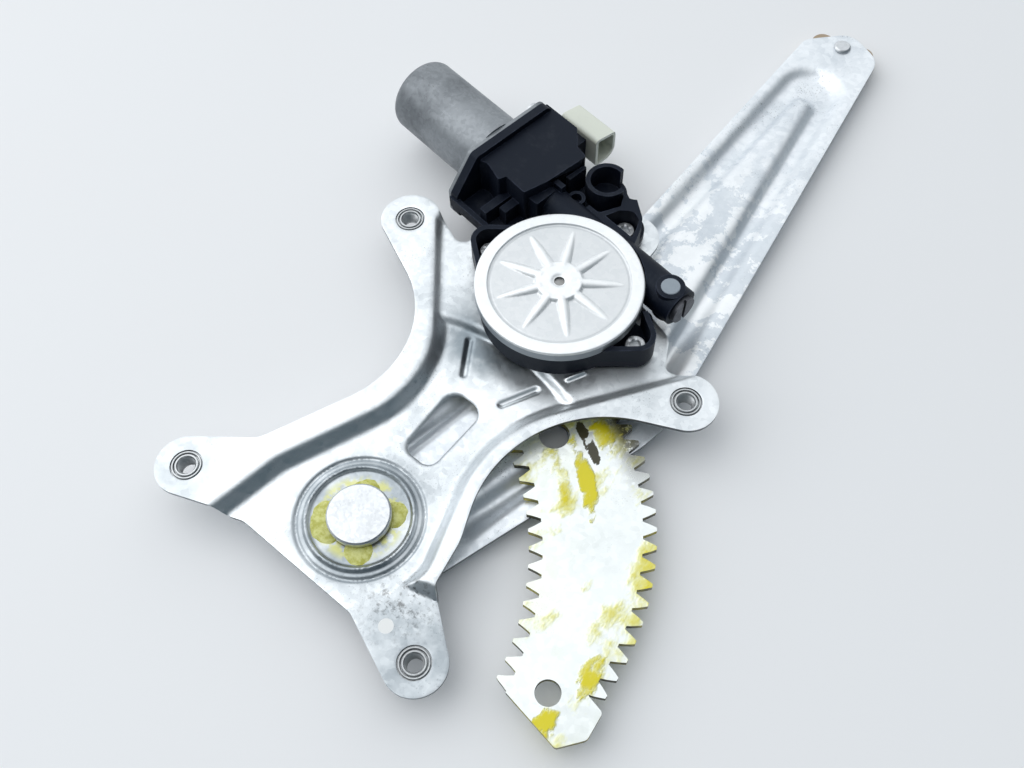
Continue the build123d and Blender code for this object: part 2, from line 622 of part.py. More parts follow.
# ---- gear sector: its inner edge is the toothed edge of the next blank in the strip ------------
with BuildPart() as sector_gear:
    with BuildSketch(Plane.XY.offset(ARM_TOP)) as sector_blank:
        with BuildLine():
            rounded(SECTOR_OUTLINE)
        make_face()
        Circle(SECTOR_ROOT_R, mode=Mode.INTERSECT)
        with BuildLine():
            rounded(SECTOR_END)
        make_face()
        for k in range(SECTOR_FIRST, SECTOR_LAST + 1):
            at = MESH_ANGLE + SECTOR_PHASE - k * SECTOR_PITCH
            add(tooth(SECTOR_TEETH_FULL, -PROFILE_SHIFT, SECTOR_ROOT_R, SECTOR_TIP_R, at))
        with Locations(NEXT_BLANK):
            Circle(SECTOR_ROOT_R, mode=Mode.SUBTRACT)
        for k in range(NEXT_FIRST, NEXT_LAST + 1):
            at = MESH_ANGLE + SECTOR_PHASE - k * SECTOR_PITCH
            next_tooth = tooth(SECTOR_TEETH_FULL, -PROFILE_SHIFT, SECTOR_ROOT_R, SECTOR_TIP_R, at)
            add(next_tooth.moved(Location((*NEXT_BLANK, 0))), mode=Mode.SUBTRACT)
        with Locations(SECTOR_HOLE):
            Circle(SECTOR_HOLE_R, mode=Mode.SUBTRACT)
        with Locations(SECTOR_END_HOLE):
            Circle(SECTOR_END_HOLE_R, mode=Mode.SUBTRACT)
        with Locations(SECTOR_RIVETS):
            Circle(SECTOR_RIVET_R, mode=Mode.SUBTRACT)
    extrude(amount=SECTOR_T)
save(sector_gear.part, "sector_gear")

with BuildPart() as sector_rivets:
    with BuildSketch(Plane.XY.offset(ARM_BOTTOM)):
        with Locations(SECTOR_RIVETS):
            Circle(SECTOR_RIVET_R)
    extrude(amount=SECTOR_TOP - ARM_BOTTOM)
    with BuildSketch(Plane.XY.offset(ARM_BOTTOM - RIVET_HEAD_T)):
        with Locations(SECTOR_RIVETS):
            Circle(RIVET_HEAD_R)
    extrude(amount=RIVET_HEAD_T)
save(sector_rivets.part, "sector_rivets")

# ---- tip of the arm: pin and guide shoe ------------------------------------------------------
with BuildPart() as tip_pin:
    with BuildSketch(Plane.XY.offset(ARM_TOP)):
        with Locations(TIP_PIN):
            Circle(TIP_HEAD_R)
    extrude(amount=TIP_HEAD_T)
    chamfer(tip_pin.faces().sort_by(Axis.Z)[-1].edges(), length=TIP_HEAD_EDGE)
    with BuildSketch(Plane.XY.offset(ARM_BOTTOM)):
        with Locations(TIP_PIN):
            Circle(TIP_NECK_R)
    extrude(amount=ARM_T)
    with BuildSketch(Plane.XY.offset(SHOE_RECESS)):
        with Locations(TIP_PIN):
            Circle(TIP_PIN_R)
    extrude(amount=ARM_BOTTOM - SHOE_RECESS)
    with BuildSketch(Plane.XY.offset(TIP_END_Z)):
        with Locations(TIP_PIN):
            Circle(TIP_END_R)
    extrude(amount=SHOE_RECESS - TIP_END_Z - SHOE_PLAY)
    with BuildSketch(Plane.XY.offset(TIP_END_Z)):
        with Locations(TIP_PIN):
            Circle(TIP_PIN_R)
    extrude(amount=SHOE_RECESS - TIP_END_Z)
save(tip_pin.part, "tip_pin")

with BuildPart() as guide_shoe:
    with BuildSketch(Plane.XY) as shoe_outline:
        with Locations(Location(TIP_PIN, SHOE_TILT)):
            RectangleRounded(SHOE_LENGTH, SHOE_WIDTH, SHOE_CORNER)
    extrude(amount=SHOE_T)
    chamfer(guide_shoe.faces().sort_by(Axis.Z)[0].edges(), length=SHOE_EDGE)
    with BuildSketch(Plane.XY):
        with Locations(TIP_PIN):
            Circle(TIP_PIN_R + RUN_FIT)
    extrude(amount=SHOE_T, mode=Mode.SUBTRACT)
    with BuildSketch(Plane.XY):
        with Locations(TIP_PIN):
            Circle(TIP_END_R + SHOE_PLAY)
    extrude(amount=SHOE_RECESS, mode=Mode.SUBTRACT)
save(guide_shoe.part, "guide_shoe")

# ---- output pinion with its shaft ------------------------------------------------------------
PINION_AT = MESH_ANGLE + 180 - SECTOR_PHASE * SECTOR_TEETH_FULL / PINION_TEETH
with BuildPart() as output_pinion:
    with BuildSketch(Plane.XY.offset(PINION_Z)) as pinion_face:
        Circle(PINION_ROOT_R)
        for k in range(PINION_TEETH):
            at = PINION_AT + (k + 0.5) * PINION_PITCH
            add(tooth(PINION_TEETH, PROFILE_SHIFT, PINION_ROOT_R, PINION_TIP_R, at))
    extrude(amount=PINION_TOP - PINION_Z)
    with BuildSketch(Plane.XY.offset(PINION_TOP)):
        Circle(OUTPUT_SHAFT_R)
    extrude(amount=WHEEL_Z + WHEEL_T - PINION_TOP)
    with BuildSketch(Plane.XY.offset(WHEEL_Z + WHEEL_T)):
        Circle(SHAFT_STUB_R)
    extrude(amount=SHAFT_STUB_TOP - WHEEL_Z - WHEEL_T)
    add(output_pinion.part.moved(Location((0, CENTRES, 0))), mode=Mode.REPLACE)
save(output_pinion.part, "output_pinion")

with BuildPart() as worm_wheel:
    # as many sides as teeth, each corner notched
    with BuildSketch(Plane.XY.offset(WHEEL_Z)):
        with Locations((0, CENTRES)):
            RegularPolygon(WHEEL_TIP_R, WHEEL_TEETH)
            Circle(OUTPUT_SHAFT_R, mode=Mode.SUBTRACT)
            with PolarLocations(WHEEL_TIP_R, WHEEL_TEETH):
                Rectangle(WHEEL_NOTCH, WHEEL_NOTCH, rotation=45, mode=Mode.SUBTRACT)
    extrude(amount=WHEEL_T)
    with BuildSketch(Plane.XY.offset(WHEEL_Z + WHEEL_T)):
        with Locations((0, CENTRES)):
            Circle(WHEEL_TIP_R - WHEEL_RIM)
            Circle(WHEEL_HUB_R, mode=Mode.SUBTRACT)
    extrude(amount=-WHEEL_DISH, mode=Mode.SUBTRACT)
save(worm_wheel.part, "worm_wheel")

# ---- gear housing ----------------------------------------------------------------------------
with BuildPart() as gear_housing:
    with BuildSketch(Plane.XY.offset(PLATEAU_Z)):
        with Locations(LUGS):
            Circle(LUG_FOOT_R)
    extrude(amount=HOUSING_Z - PLATEAU_Z)
    # the two round lugs beside the wheel
    for x, y in (LUGS[0], LUGS[2]):
        with BuildSketch(Plane.XY.offset(HOUSING_Z)):
            with Locations((x, y)):
                Circle(LUG_R)
            with Locations((x * LUG_ROOT, CENTRES + (y - CENTRES) * LUG_ROOT)):
                Circle(LUG_ROOT_R)
            make_hull()
        extrude(amount=LUG_TOP - HOUSING_Z)
    # the third lug runs on beside the cup, with a second pocket that lightens it
    with BuildSketch(motor_level(HOUSING_Z)):
        with BuildLine():
            rounded(UPPER_LUG)
        make_face()
    extrude(amount=LUG_TOP - HOUSING_Z)
    with BuildSketch(motor_level(WEB_TOP)):
        with BuildLine():
            rounded(UPPER_RELIEF)
        make_face()
    extrude(amount=LUG_TOP, mode=Mode.SUBTRACT)
    # low web that carries the cup
    with BuildSketch(motor_level(HOUSING_Z)):
        with Locations(CUP):
            Circle(CUP_R)
        for along, across, radius in WEB_SPOTS:
            with Locations((along, across)):
                Circle(radius)
        make_hull()
    extrude(amount=WEB_TOP - HOUSING_Z)
    with BuildSketch(motor_level(WEB_TOP)):
        with Locations(CUP):
            Circle(CUP_R)
    extrude(amount=CUP_TOP - WEB_TOP)
    with BuildSketch(motor_level(WEB_TOP)):
        with Locations(CUP):
            Circle(CUP_R - CUP_WALL)
    extrude(amount=CUP_TOP - WEB_TOP, mode=Mode.SUBTRACT)
    with BuildSketch(motor_level(CUP_LOW)):
        with Locations(CUP_CUT):
            Circle(CUP_CUT_R)
    extrude(amount=CUP_TOP - CUP_LOW, mode=Mode.SUBTRACT)
    # brush box with the rim that the can is screwed to
    with BuildSketch(motor_level(BOX_BOTTOM)):
        with BuildLine():
            rounded(BOX_OUTLINE)
        make_face()
    extrude(amount=BOX_TOP - BOX_BOTTOM)
    with BuildSketch(across_motor(-CAN_FRONT)):
        with BuildLine():
            rounded(RIM_OUTLINE)
        make_face()
    extrude(amount=RIM_T)
    with BuildSketch(motor_level(CONNECTOR_BOTTOM)):
        with Locations((sum(NECK_BLOCK) / 2, CONNECTOR_N / 2)):
            Rectangle(NECK_BLOCK[1] - NECK_BLOCK[0], CONNECTOR_N)
    extrude(amount=MOTOR_AXIS_Z - CONNECTOR_BOTTOM)
    # ledges and tab in front of the box
    with BuildSketch(motor_level(HOUSING_Z)):
        for low, high in LEDGES:
            with Locations(((LEDGE_BACK + LEDGE_FRONT) / 2, (low + high) / 2)):
                RectangleRounded(LEDGE_FRONT - LEDGE_BACK, high - low, LEDGE_CORNER)
    extrude(amount=LEDGE_TOP - HOUSING_Z)
    with BuildSketch(motor_level(HOUSING_Z)):
        with Locations(((LEDGE_BACK + TAB_FRONT) / 2, (TAB[0] + TAB[1]) / 2)):
            Rectangle(TAB_FRONT - LEDGE_BACK, TAB[1] - TAB[0])
    extrude(amount=TAB_TOP - HOUSING_Z)
    # deck with its side wall, and the upright fins between deck and box
    with BuildSketch(motor_level(HOUSING_Z)):
        with Locations(((SIDE_WALL_END - CAN_FRONT) / 2, SIDE_WALL[0] / 2)):
            Rectangle(CAN_FRONT + SIDE_WALL_END, -SIDE_WALL[0])
    extrude(amount=DECK_T)
    with BuildSketch(motor_level(HOUSING_Z)):
        with Locations(((SIDE_WALL_END - CAN_FRONT) / 2, sum(SIDE_WALL) / 2)):
            Rectangle(CAN_FRONT + SIDE_WALL_END, SIDE_WALL[1] - SIDE_WALL[0])
    extrude(amount=SIDE_WALL_TOP - HOUSING_Z)
    with BuildSketch(motor_level(HOUSING_Z)):
        for along, reach in SLATS:
            with Locations((along, reach / 2)):
                Rectangle(SLAT_W, -reach)
    extrude(amount=SLAT_TOP - HOUSING_Z)
    # worm tunnel along the armature, its upright boss and its foot
    with BuildSketch(across_motor(TUNNEL_BACK)):
        Circle(NECK_R)
    extrude(amount=-TUNNEL_BACK)
    with BuildSketch(across_motor(0)):
        Circle(TUNNEL_R)
    extrude(amount=TUNNEL_END)
    with BuildSketch(motor_level(MOTOR_AXIS_Z)):
        with Locations((PLUG_S, 0)):
            Circle(PLUG_BOSS_R)
    extrude(amount=PLUG_TOP - MOTOR_AXIS_Z)
    with BuildSketch(motor_level(HOUSING_Z)):
        with Locations((PLUG_S, 0)):
            Circle(TUNNEL_FOOT_R)
    extrude(amount=MOTOR_AXIS_Z - HOUSING_Z)
    # small boss beside the box
    with BuildSketch(motor_level(WEB_TOP)):
        with Locations(BOSS):
            Circle(BOSS_R)
    extrude(amount=BOSS_TOP - WEB_TOP)
    with BuildSketch(motor_level(BOSS_TOP - BOSS_DEPTH)):
        with Locations(BOSS):
            Circle(BOSS_HOLE_R)
    extrude(amount=BOSS_TOP, mode=Mode.SUBTRACT)
    # eyelet at the foot of the right lug
    with BuildSketch(Plane.XY.offset(HOUSING_Z)):
        with Locations(EYELET):
            Circle(EYELET_R)
        with Locations((EYELET[0] * EYELET_ROOT, CENTRES + (EYELET[1] - CENTRES) * EYELET_ROOT)):
            Circle(EYELET_R)
        make_hull()
    extrude(amount=EYELET_TOP - HOUSING_Z)
    # spigot through the plate
    with BuildSketch(Plane.XY.offset(SPIGOT_Z)):
        with Locations((0, CENTRES)):
            Circle(SPIGOT_R)
    extrude(amount=PLATEAU_Z - SPIGOT_Z)
    # room for the cover and its skirt, then the case it closes
    with BuildSketch(Plane.XY.offset(COVER_SKIRT_Z - COVER_GAP)):
        with Locations((0, CENTRES)):
            Circle(COVER_R + COVER_GAP)
    extrude(amount=BOX_TOP, mode=Mode.SUBTRACT)
    with BuildSketch(Plane.XY.offset(PLATEAU_Z)):
        with Locations((0, CENTRES)):
            Circle(CASE_R)
    extrude(amount=CASE_TOP - PLATEAU_Z)
    # wheel chamber, shaft bore, worm bore
    with BuildSketch(Plane.XY.offset(WHEEL_Z - WHEEL_GAP)):
        with Locations((0, CENTRES)):
            Circle(CASE_R - CASE_WALL)
    extrude(amount=CASE_TOP, mode=Mode.SUBTRACT)
    with BuildSketch(Plane.XY.offset(SPIGOT_Z)):
        with Locations((0, CENTRES)):
            Circle(OUTPUT_SHAFT_R + RUN_FIT)
    extrude(amount=CASE_TOP, mode=Mode.SUBTRACT)
    with BuildSketch(across_motor(-CAN_FRONT)):
        Circle(WORM_BORE_R)
    extrude(amount=TUNNEL_DEPTH + CAN_FRONT, mode=Mode.SUBTRACT)
    with BuildSketch(across_motor(TUNNEL_DEPTH)):
        Circle(END_SHANK_R)
    extrude(amount=TUNNEL_END, mode=Mode.SUBTRACT)
    # brush chamber, open towards the can
    with BuildSketch(across_motor(-CAN_FRONT)):
        Rectangle(2 * BRUSH_CHAMBER, 2 * BRUSH_CHAMBER)
    extrude(amount=BRUSH_CHAMBER_DEPTH, mode=Mode.SUBTRACT)
    # plug seat and screw holes
    with BuildSketch(motor_level(PLUG_TOP - PLUG_DEPTH)):
        with Locations((PLUG_S, 0)):
            Circle(PLUG_R)
    extrude(amount=PLUG_DEPTH, mode=Mode.SUBTRACT)
    with BuildSketch(across_motor(-CAN_FRONT)):
        with Locations([polar(*spot) for spot in CAN_SCREWS]):
            Circle(CAN_SCREW_R + CAN_SCREW_FIT)
    extrude(amount=RIM_T, mode=Mode.SUBTRACT)
    # screw pockets in the three lugs
    for x, y in (LUGS[0], LUGS[2]):
        with BuildSketch(Plane.XY.offset(LUG_FLOOR_Z)):
            with Locations((x, y)):
                Circle(LUG_R - LUG_WALL)
            with Locations((x * LUG_ROOT, CENTRES + (y - CENTRES) * LUG_ROOT)):
                Circle(LUG_ROOT_R - LUG_WALL)
            make_hull()
            with Locations((0, CENTRES)):
                Circle(CASE_R, mode=Mode.SUBTRACT)
            with Locations(Location((MOTOR_FOOT.X, MOTOR_FOOT.Y), MOTOR_TILT)):
                Rectangle(2 * CAN_BACK, 2 * (TUNNEL_R + TUNNEL_SKIN), mode=Mode.SUBTRACT)
        extrude(amount=LUG_TOP, mode=Mode.SUBTRACT)
    with BuildSketch(motor_level(LUG_FLOOR_Z)):
        with BuildLine():
            rounded(UPPER_POCKET)
        make_face()
        Rectangle(2 * CAN_BACK, 2 * (TUNNEL_R + TUNNEL_SKIN), mode=Mode.SUBTRACT)
        with Locations((0, -WORM_OFFSET)):
            Circle(CASE_R, mode=Mode.SUBTRACT)
    extrude(amount=LUG_TOP, mode=Mode.SUBTRACT)
    with BuildSketch(Plane.XY):
        with Locations(LUGS):
            Circle(SCREW_R)
        with Locations(EYELET):
            Circle(EYELET_HOLE_R)
    extrude(amount=BOX_TOP, mode=Mode.SUBTRACT)
save(gear_housing.part, "gear_housing")

# ---- ribbed steel cover over the worm wheel ----------------------------------------------------
with BuildPart() as cover_cap:
    with BuildSketch(Plane.XY.offset(COVER_SKIRT_Z)):
        Circle(COVER_R)
    extrude(amount=COVER_TOP - COVER_SKIRT_Z)
    chamfer(cover_cap.faces().sort_by(Axis.Z)[-1].edges(), length=COVER_EDGE)
    with BuildSketch(Plane.XY.offset(COVER_TOP - COVER_STEP)):
        Circle(COVER_STEP_R)
    extrude(amount=COVER_STEP, taper=-COVER_STEP_SLOPE, mode=Mode.SUBTRACT)
    with BuildSketch(Plane.XY.offset(COVER_TOP - COVER_STEP)):
        Circle(COVER_HUB_R)
    extrude(amount=COVER_HUB_H, taper=COVER_HUB_SLOPE)
    # tapering ribs, each a spear with sloped sides
    for k in range(COVER_RIBS):
        turn = COVER_RIB_TURN + 360 / COVER_RIBS * k
        with BuildSketch(Plane.XY.offset(COVER_TOP - COVER_STEP).rotated((0, 0, turn))):
            with BuildLine():
                foot_left = (COVER_RIB_START, -COVER_RIB_W / 2)
                foot_right = (COVER_RIB_START, COVER_RIB_W / 2)
                Polyline(foot_left, (COVER_RIB_END, 0), foot_right, close=True)
            make_face()
        extrude(amount=COVER_RIB_H, taper=COVER_RIB_SLOPE)
with BuildPart() as cover_core:
    add(cover_cap.part.moved(Location((0, 0, -COVER_T))))
    with BuildSketch(Plane.XY):
        Circle(COVER_R - COVER_T)
    extrude(amount=COVER_TOP + COVER_HUB_H, mode=Mode.INTERSECT)
with BuildPart() as gear_cover:
    add(cover_cap.part)
    add(cover_core.part, mode=Mode.SUBTRACT)
    with BuildSketch(Plane.XY.offset(COVER_SKIRT_Z)):
        Circle(COVER_HOLE_R)
    extrude(amount=COVER_TOP, mode=Mode.SUBTRACT)
    add(gear_cover.part.moved(Location((0, CENTRES, 0))), mode=Mode.REPLACE)
save(gear_cover.part, "gear_cover")

# ---- motor: drawn can with its flange ----------------------------------------------------------
with BuildPart() as motor_can:
    with BuildSketch(across_motor(-CAN_BACK)):
        Circle(CAN_R)
    extrude(amount=CAN_BACK - CAN_FRONT - CAN_FLANGE_T)
    back_edge = motor_can.edges().filter_by(GeomType.CIRCLE).sort_by(Axis(MOTOR_FOOT, MOTOR_DIR))[0]
    fillet(back_edge, radius=CAN_EDGE_R)
    with BuildSketch(across_motor(-CAN_FRONT - CAN_FLANGE_T)):
        with BuildLine():
            rounded(RIM_OUTLINE)
        make_face()
        with Locations([polar(*spot) for spot in CAN_SCREWS]):
            Circle(CAN_SCREW_R + CAN_SCREW_FIT, mode=Mode.SUBTRACT)
    extrude(amount=CAN_FLANGE_T)
    with BuildSketch(across_motor(-CAN_BACK + CAN_WALL)):
        Circle(CAN_R - CAN_WALL)
    extrude(amount=CAN_BACK, mode=Mode.SUBTRACT)
save(motor_can.part, "motor_can")

with BuildPart() as magnets:
    for side in (0, 180):
        with BuildSketch(across_motor(CORE_BACK)):
            with BuildLine():
                CenterArc((0, 0), MAGNET_R, side - MAGNET_ANGLE / 2, MAGNET_ANGLE)
                CenterArc((0, 0), MAGNET_R - MAGNET_T, side - MAGNET_ANGLE / 2, MAGNET_ANGLE)
                for end in (-1, 1):
                    turn = math.radians(side + end * MAGNET_ANGLE / 2)
                    Line(
                        (MAGNET_R * math.cos(turn), MAGNET_R * math.sin(turn)),
                        ((MAGNET_R - MAGNET_T) * math.cos(turn), (MAGNET_R - MAGNET_T) * math.sin(turn)),
                    )
            make_face()
        extrude(amount=CORE_FRONT - CORE_BACK)
save(magnets.part, "magnets")

with BuildPart() as rear_bearing:
    with BuildSketch(across_motor(-CAN_BACK + CAN_WALL)):
        Circle(BEARING_R)
        Circle(ARMATURE_SHAFT_R + RUN_FIT, mode=Mode.SUBTRACT)
    extrude(amount=BEARING_L)
save(rear_bearing.part, "rear_bearing")

with BuildPart() as shaft_bushes:
    for s in BUSH_SPOTS:
        with BuildSketch(across_motor(s)):
            Circle(WORM_BORE_R)
            Circle(ARMATURE_SHAFT_R + RUN_FIT, mode=Mode.SUBTRACT)
        extrude(amount=BUSH_L)
save(shaft_bushes.part, "shaft_bushes")

# ---- armature ----------------------------------------------------------------------------------
with BuildPart() as armature_shaft:
    with BuildSketch(across_motor(SHAFT_BACK)):
        Circle(ARMATURE_SHAFT_R)
    extrude(amount=SHAFT_FRONT - SHAFT_BACK)
    with BuildSketch(across_motor(WORM_BACK)):
        Circle(WORM_ROOT_R)
    extrude(amount=WORM_FRONT - WORM_BACK)
save(armature_shaft.part, "armature_shaft")

with BuildPart() as armature_core:
    with BuildSketch(across_motor(CORE_BACK)):
        Circle(CORE_R)
    extrude(amount=CORE_FRONT - CORE_BACK)
    with BuildSketch(across_motor(CORE_BACK - COIL_OVERHANG)):
        Circle(COIL_R)
    extrude(amount=CORE_FRONT - CORE_BACK + 2 * COIL_OVERHANG)
    with BuildSketch(across_motor(CORE_BACK - COIL_OVERHANG)):
        Circle(ARMATURE_SHAFT_R)
    extrude(amount=CORE_FRONT - CORE_BACK + 2 * COIL_OVERHANG, mode=Mode.SUBTRACT)
save(armature_core.part, "armature_core")

with BuildPart() as commutator:
    with BuildSketch(across_motor(COMMUTATOR_BACK)):
        Circle(COMMUTATOR_R)
        Circle(ARMATURE_SHAFT_R, mode=Mode.SUBTRACT)
    extrude(amount=COMMUTATOR_FRONT - COMMUTATOR_BACK)
save(commutator.part, "commutator")

# ---- brush holder and brushes --------------------------------------------------------------------
with BuildPart() as brush_holder:
    with BuildSketch(across_motor(BRUSH_PLATE_BACK + RIM_T)):
        Rectangle(2 * BRUSH_CHAMBER, 2 * BRUSH_CHAMBER)
        Circle(COMMUTATOR_R + HOLDER_GAP, mode=Mode.SUBTRACT)
    extrude(amount=BRUSH_PLATE_T)
save(brush_holder.part, "brush_holder")

with BuildPart() as brushes:
    with BuildSketch(across_motor(BRUSH_PLATE_BACK + RIM_T - BRUSH_H)):
        reach = COMMUTATOR_R + BRUSH_GAP + BRUSH_L / 2
        with Locations((reach, 0), (-reach, 0)):
            Rectangle(BRUSH_L, BRUSH_W)
    extrude(amount=BRUSH_H)
save(brushes.part, "brushes")

# ---- connector socket and its blades -------------------------------------------------------------
with BuildPart() as connector_shell:
    with BuildSketch(across_motor(CONNECTOR_BACK)) as tube:
        with BuildLine():
            rounded([(n, z - MOTOR_AXIS_Z, r) for n, z, r in CONNECTOR_PROFILE])
        make_face()
    extrude(amount=CONNECTOR_MOUTH - CONNECTOR_BACK)
    with BuildSketch(across_motor(CONNECTOR_MOUTH - CONNECTOR_DEPTH)):
        with BuildLine():
            rounded([(n, z - MOTOR_AXIS_Z, r) for n, z, r in CONNECTOR_PROFILE])
        make_face()
        offset(amount=-CONNECTOR_WALL)
    extrude(amount=CONNECTOR_DEPTH, mode=Mode.SUBTRACT)
save(connector_shell.part, "connector_shell")

with BuildPart() as connector_pins:
    with BuildSketch(across_motor(CONNECTOR_MOUTH - CONNECTOR_DEPTH)):
        for n in PIN_SPOTS:
            with Locations((n, (CONNECTOR_TOP + CONNECTOR_BOTTOM) / 2 - MOTOR_AXIS_Z)):
                Rectangle(PIN_W, PIN_T)
    extrude(amount=PIN_LENGTH)
save(connector_pins.part, "connector_pins")

# ---- small fasteners -------------------------------------------------------------------------------
with BuildPart() as motor_screws:
    with BuildSketch(Plane.XY.offset(LUG_FLOOR_Z)):
        with Locations(LUGS):
            Circle(MOTOR_SCREW_HEAD_R)
    extrude(amount=MOTOR_SCREW_HEAD_T)
    with BuildSketch(Plane.XY.offset(LUG_FLOOR_Z + MOTOR_SCREW_HEAD_T - DRIVE_DEPTH)):
        with Locations(LUGS):
            RegularPolygon(DRIVE_R, 6)
    extrude(amount=DRIVE_DEPTH, mode=Mode.SUBTRACT)
    with BuildSketch(Plane.XY.offset(LUG_FLOOR_Z - MOTOR_SCREW_LENGTH)):
        with Locations(LUGS):
            Circle(MOTOR_SCREW_R)
    extrude(amount=MOTOR_SCREW_LENGTH)
save(motor_screws.part, "motor_screws")

with BuildPart() as can_screws:
    with BuildSketch(across_motor(-CAN_FRONT - CAN_FLANGE_T - CAN_SCREW_HEAD_T)):
        with Locations([polar(*spot) for spot in CAN_SCREWS]):
            Circle(CAN_SCREW_HEAD_R)
    extrude(amount=CAN_SCREW_HEAD_T)
    with BuildSketch(across_motor(-CAN_FRONT - CAN_FLANGE_T)):
        with Locations([polar(*spot) for spot in CAN_SCREWS]):
            Circle(CAN_SCREW_R)
    extrude(amount=CAN_FLANGE_T + RIM_T)
save(can_screws.part, "can_screws")

with BuildPart() as end_screw:
    with BuildSketch(across_motor(TUNNEL_DEPTH + END_GAP)):
        Circle(END_SHANK_R)
    extrude(amount=TUNNEL_END - TUNNEL_DEPTH - END_GAP)
    with BuildSketch(across_motor(TUNNEL_END)):
        Circle(END_SCREW_R)
    extrude(amount=END_SCREW_T)
    with BuildSketch(across_motor(TUNNEL_END + END_SCREW_T - END_SLOT_DEPTH)):
        Rectangle(END_SLOT_W, 2 * END_SCREW_R)
    extrude(amount=END_SLOT_DEPTH, mode=Mode.SUBTRACT)
save(end_screw.part, "end_screw")

with BuildPart() as vent_plug:
    with BuildSketch(motor_level(PLUG_TOP - PLUG_DEPTH)):
        with Locations((PLUG_S, 0)):
            Circle(PLUG_R)
    extrude(amount=PLUG_DEPTH + PLUG_STAND)
    chamfer(vent_plug.faces().sort_by(Axis.Z)[-1].edges(), length=PLUG_STAND)
save(vent_plug.part, "vent_plug")
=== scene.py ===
"""Looks of a single-arm power window regulator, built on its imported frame. The outlines, radii and
heights of the pieces made here are in millimetres, and everything else is in metres."""

import cmath
import contextlib
import math

import bmesh
import bpy
import numpy as np
from mathutils import Matrix, Vector
from mathutils.geometry import delaunay_2d_cdt


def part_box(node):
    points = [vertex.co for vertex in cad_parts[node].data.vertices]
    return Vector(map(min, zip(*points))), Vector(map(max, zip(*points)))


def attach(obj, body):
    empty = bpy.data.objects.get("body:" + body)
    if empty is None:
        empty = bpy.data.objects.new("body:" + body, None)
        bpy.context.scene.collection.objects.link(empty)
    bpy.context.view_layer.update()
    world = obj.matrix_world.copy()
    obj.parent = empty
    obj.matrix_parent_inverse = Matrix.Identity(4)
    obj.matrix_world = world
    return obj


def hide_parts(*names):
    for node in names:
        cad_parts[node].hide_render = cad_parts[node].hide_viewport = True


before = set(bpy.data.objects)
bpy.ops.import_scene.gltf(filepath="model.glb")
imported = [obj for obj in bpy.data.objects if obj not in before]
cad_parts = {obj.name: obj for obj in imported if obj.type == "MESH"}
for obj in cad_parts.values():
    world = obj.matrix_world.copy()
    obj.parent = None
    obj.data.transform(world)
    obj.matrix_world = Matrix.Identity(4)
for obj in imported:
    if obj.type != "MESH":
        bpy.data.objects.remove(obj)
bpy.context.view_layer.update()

# ---- camera --------------------------------------------------------------
# A 37 mm lens that looks down on the part from its lower right, half a metre away.
CAMERA_SPOT = (0.148693, -0.074968, 0.388276)
CAMERA_TURNS = ((41.954, "Z"), (29.3845, "X"), (-2.6188, "Z"))
CAMERA_LENS = 36.94
CAMERA_SENSOR = 36.0
CAMERA_NEAR = 0.01


def added(name, data):
    """New object in the scene."""
    made = bpy.data.objects.new(name, data)
    bpy.context.collection.objects.link(made)
    return made


camera_data = bpy.data.cameras.new("camera")
camera_data.lens = CAMERA_LENS
camera_data.sensor_width = CAMERA_SENSOR
camera_data.clip_start = CAMERA_NEAR
camera = added("camera", camera_data)
camera_turn = Matrix.Identity(4)
for degrees, axis in CAMERA_TURNS:
    camera_turn = camera_turn @ Matrix.Rotation(math.radians(degrees), 4, axis)
camera.matrix_world = Matrix.Translation(CAMERA_SPOT) @ camera_turn
bpy.context.scene.camera = camera
bpy.context.scene.view_settings.view_transform = "Standard"

# ---- studio: floor, sky and lamp -----------------------------------------
# A pale table top, a soft sky that is brighter over the part's upper left, and one broad lamp there.
FLOOR_DROP = 0.0004
FLOOR_HALF = 3.0
FLOOR_TONES = ((0.84, 0.85, 0.865, 1), (0.84, 0.84, 0.85, 1))
SKY_DARK = (0.035, 0.065, 0.085, 1)
SKY_BRIGHT = (1.02, 1.06, 1.09, 1)
SKY_SIDE = camera_turn.to_3x3() @ Vector((-0.30, 0.86, 0.42)).normalized()
SKY_FROM, SKY_TO = 0.06, 0.68   # cosines from SKY_SIDE between which the sky turns bright
BACKDROP = (0.80, 0.83, 0.86, 1)
LAMP_SIDE = camera_turn.to_3x3() @ Vector((-0.62, 0.50, 0.60)).normalized()
LAMP_SIZE = 1.5
LAMP_REACH = 1.2
LAMP_POWER = 5.4
LAMP_AIM = Vector((0.0, 0.12, 0.0))


def put(tree, kind, fills=(), **settings):
    """Adds a node, with its settings and with its inputs filled by values or other nodes' outputs."""
    made = tree.nodes.new(kind)
    for name, value in settings.items():
        setattr(made, name, value)
    for name, value in dict(fills).items():
        if isinstance(value, bpy.types.NodeSocket):
            tree.links.new(value, made.inputs[name])
        else:
            made.inputs[name].default_value = value
    return made


def own_place(tree):
    """Output with a point's place on its own object."""
    return put(tree, "ShaderNodeTexCoord").outputs["Object"]


def blended(tree, share, first, second):
    """Output of a colour mix; first and second are colours or other nodes' outputs."""
    mix = put(tree, "ShaderNodeMix", {"Factor": share}, data_type="RGBA")
    for socket, value in ((mix.inputs[6], first), (mix.inputs[7], second)):
        if isinstance(value, bpy.types.NodeSocket):
            tree.links.new(value, socket)
        else:
            socket.default_value = value
    return mix.outputs[2]


def shader(name, **plain):
    """New material and its tree, with the plain values of its Principled shader set."""
    material = bpy.data.materials.new(name)
    material.use_nodes = True
    surface = material.node_tree.nodes["Principled BSDF"]
    for socket, value in plain.items():
        surface.inputs[socket.replace("_", " ")].default_value = value
    return material, material.node_tree, surface


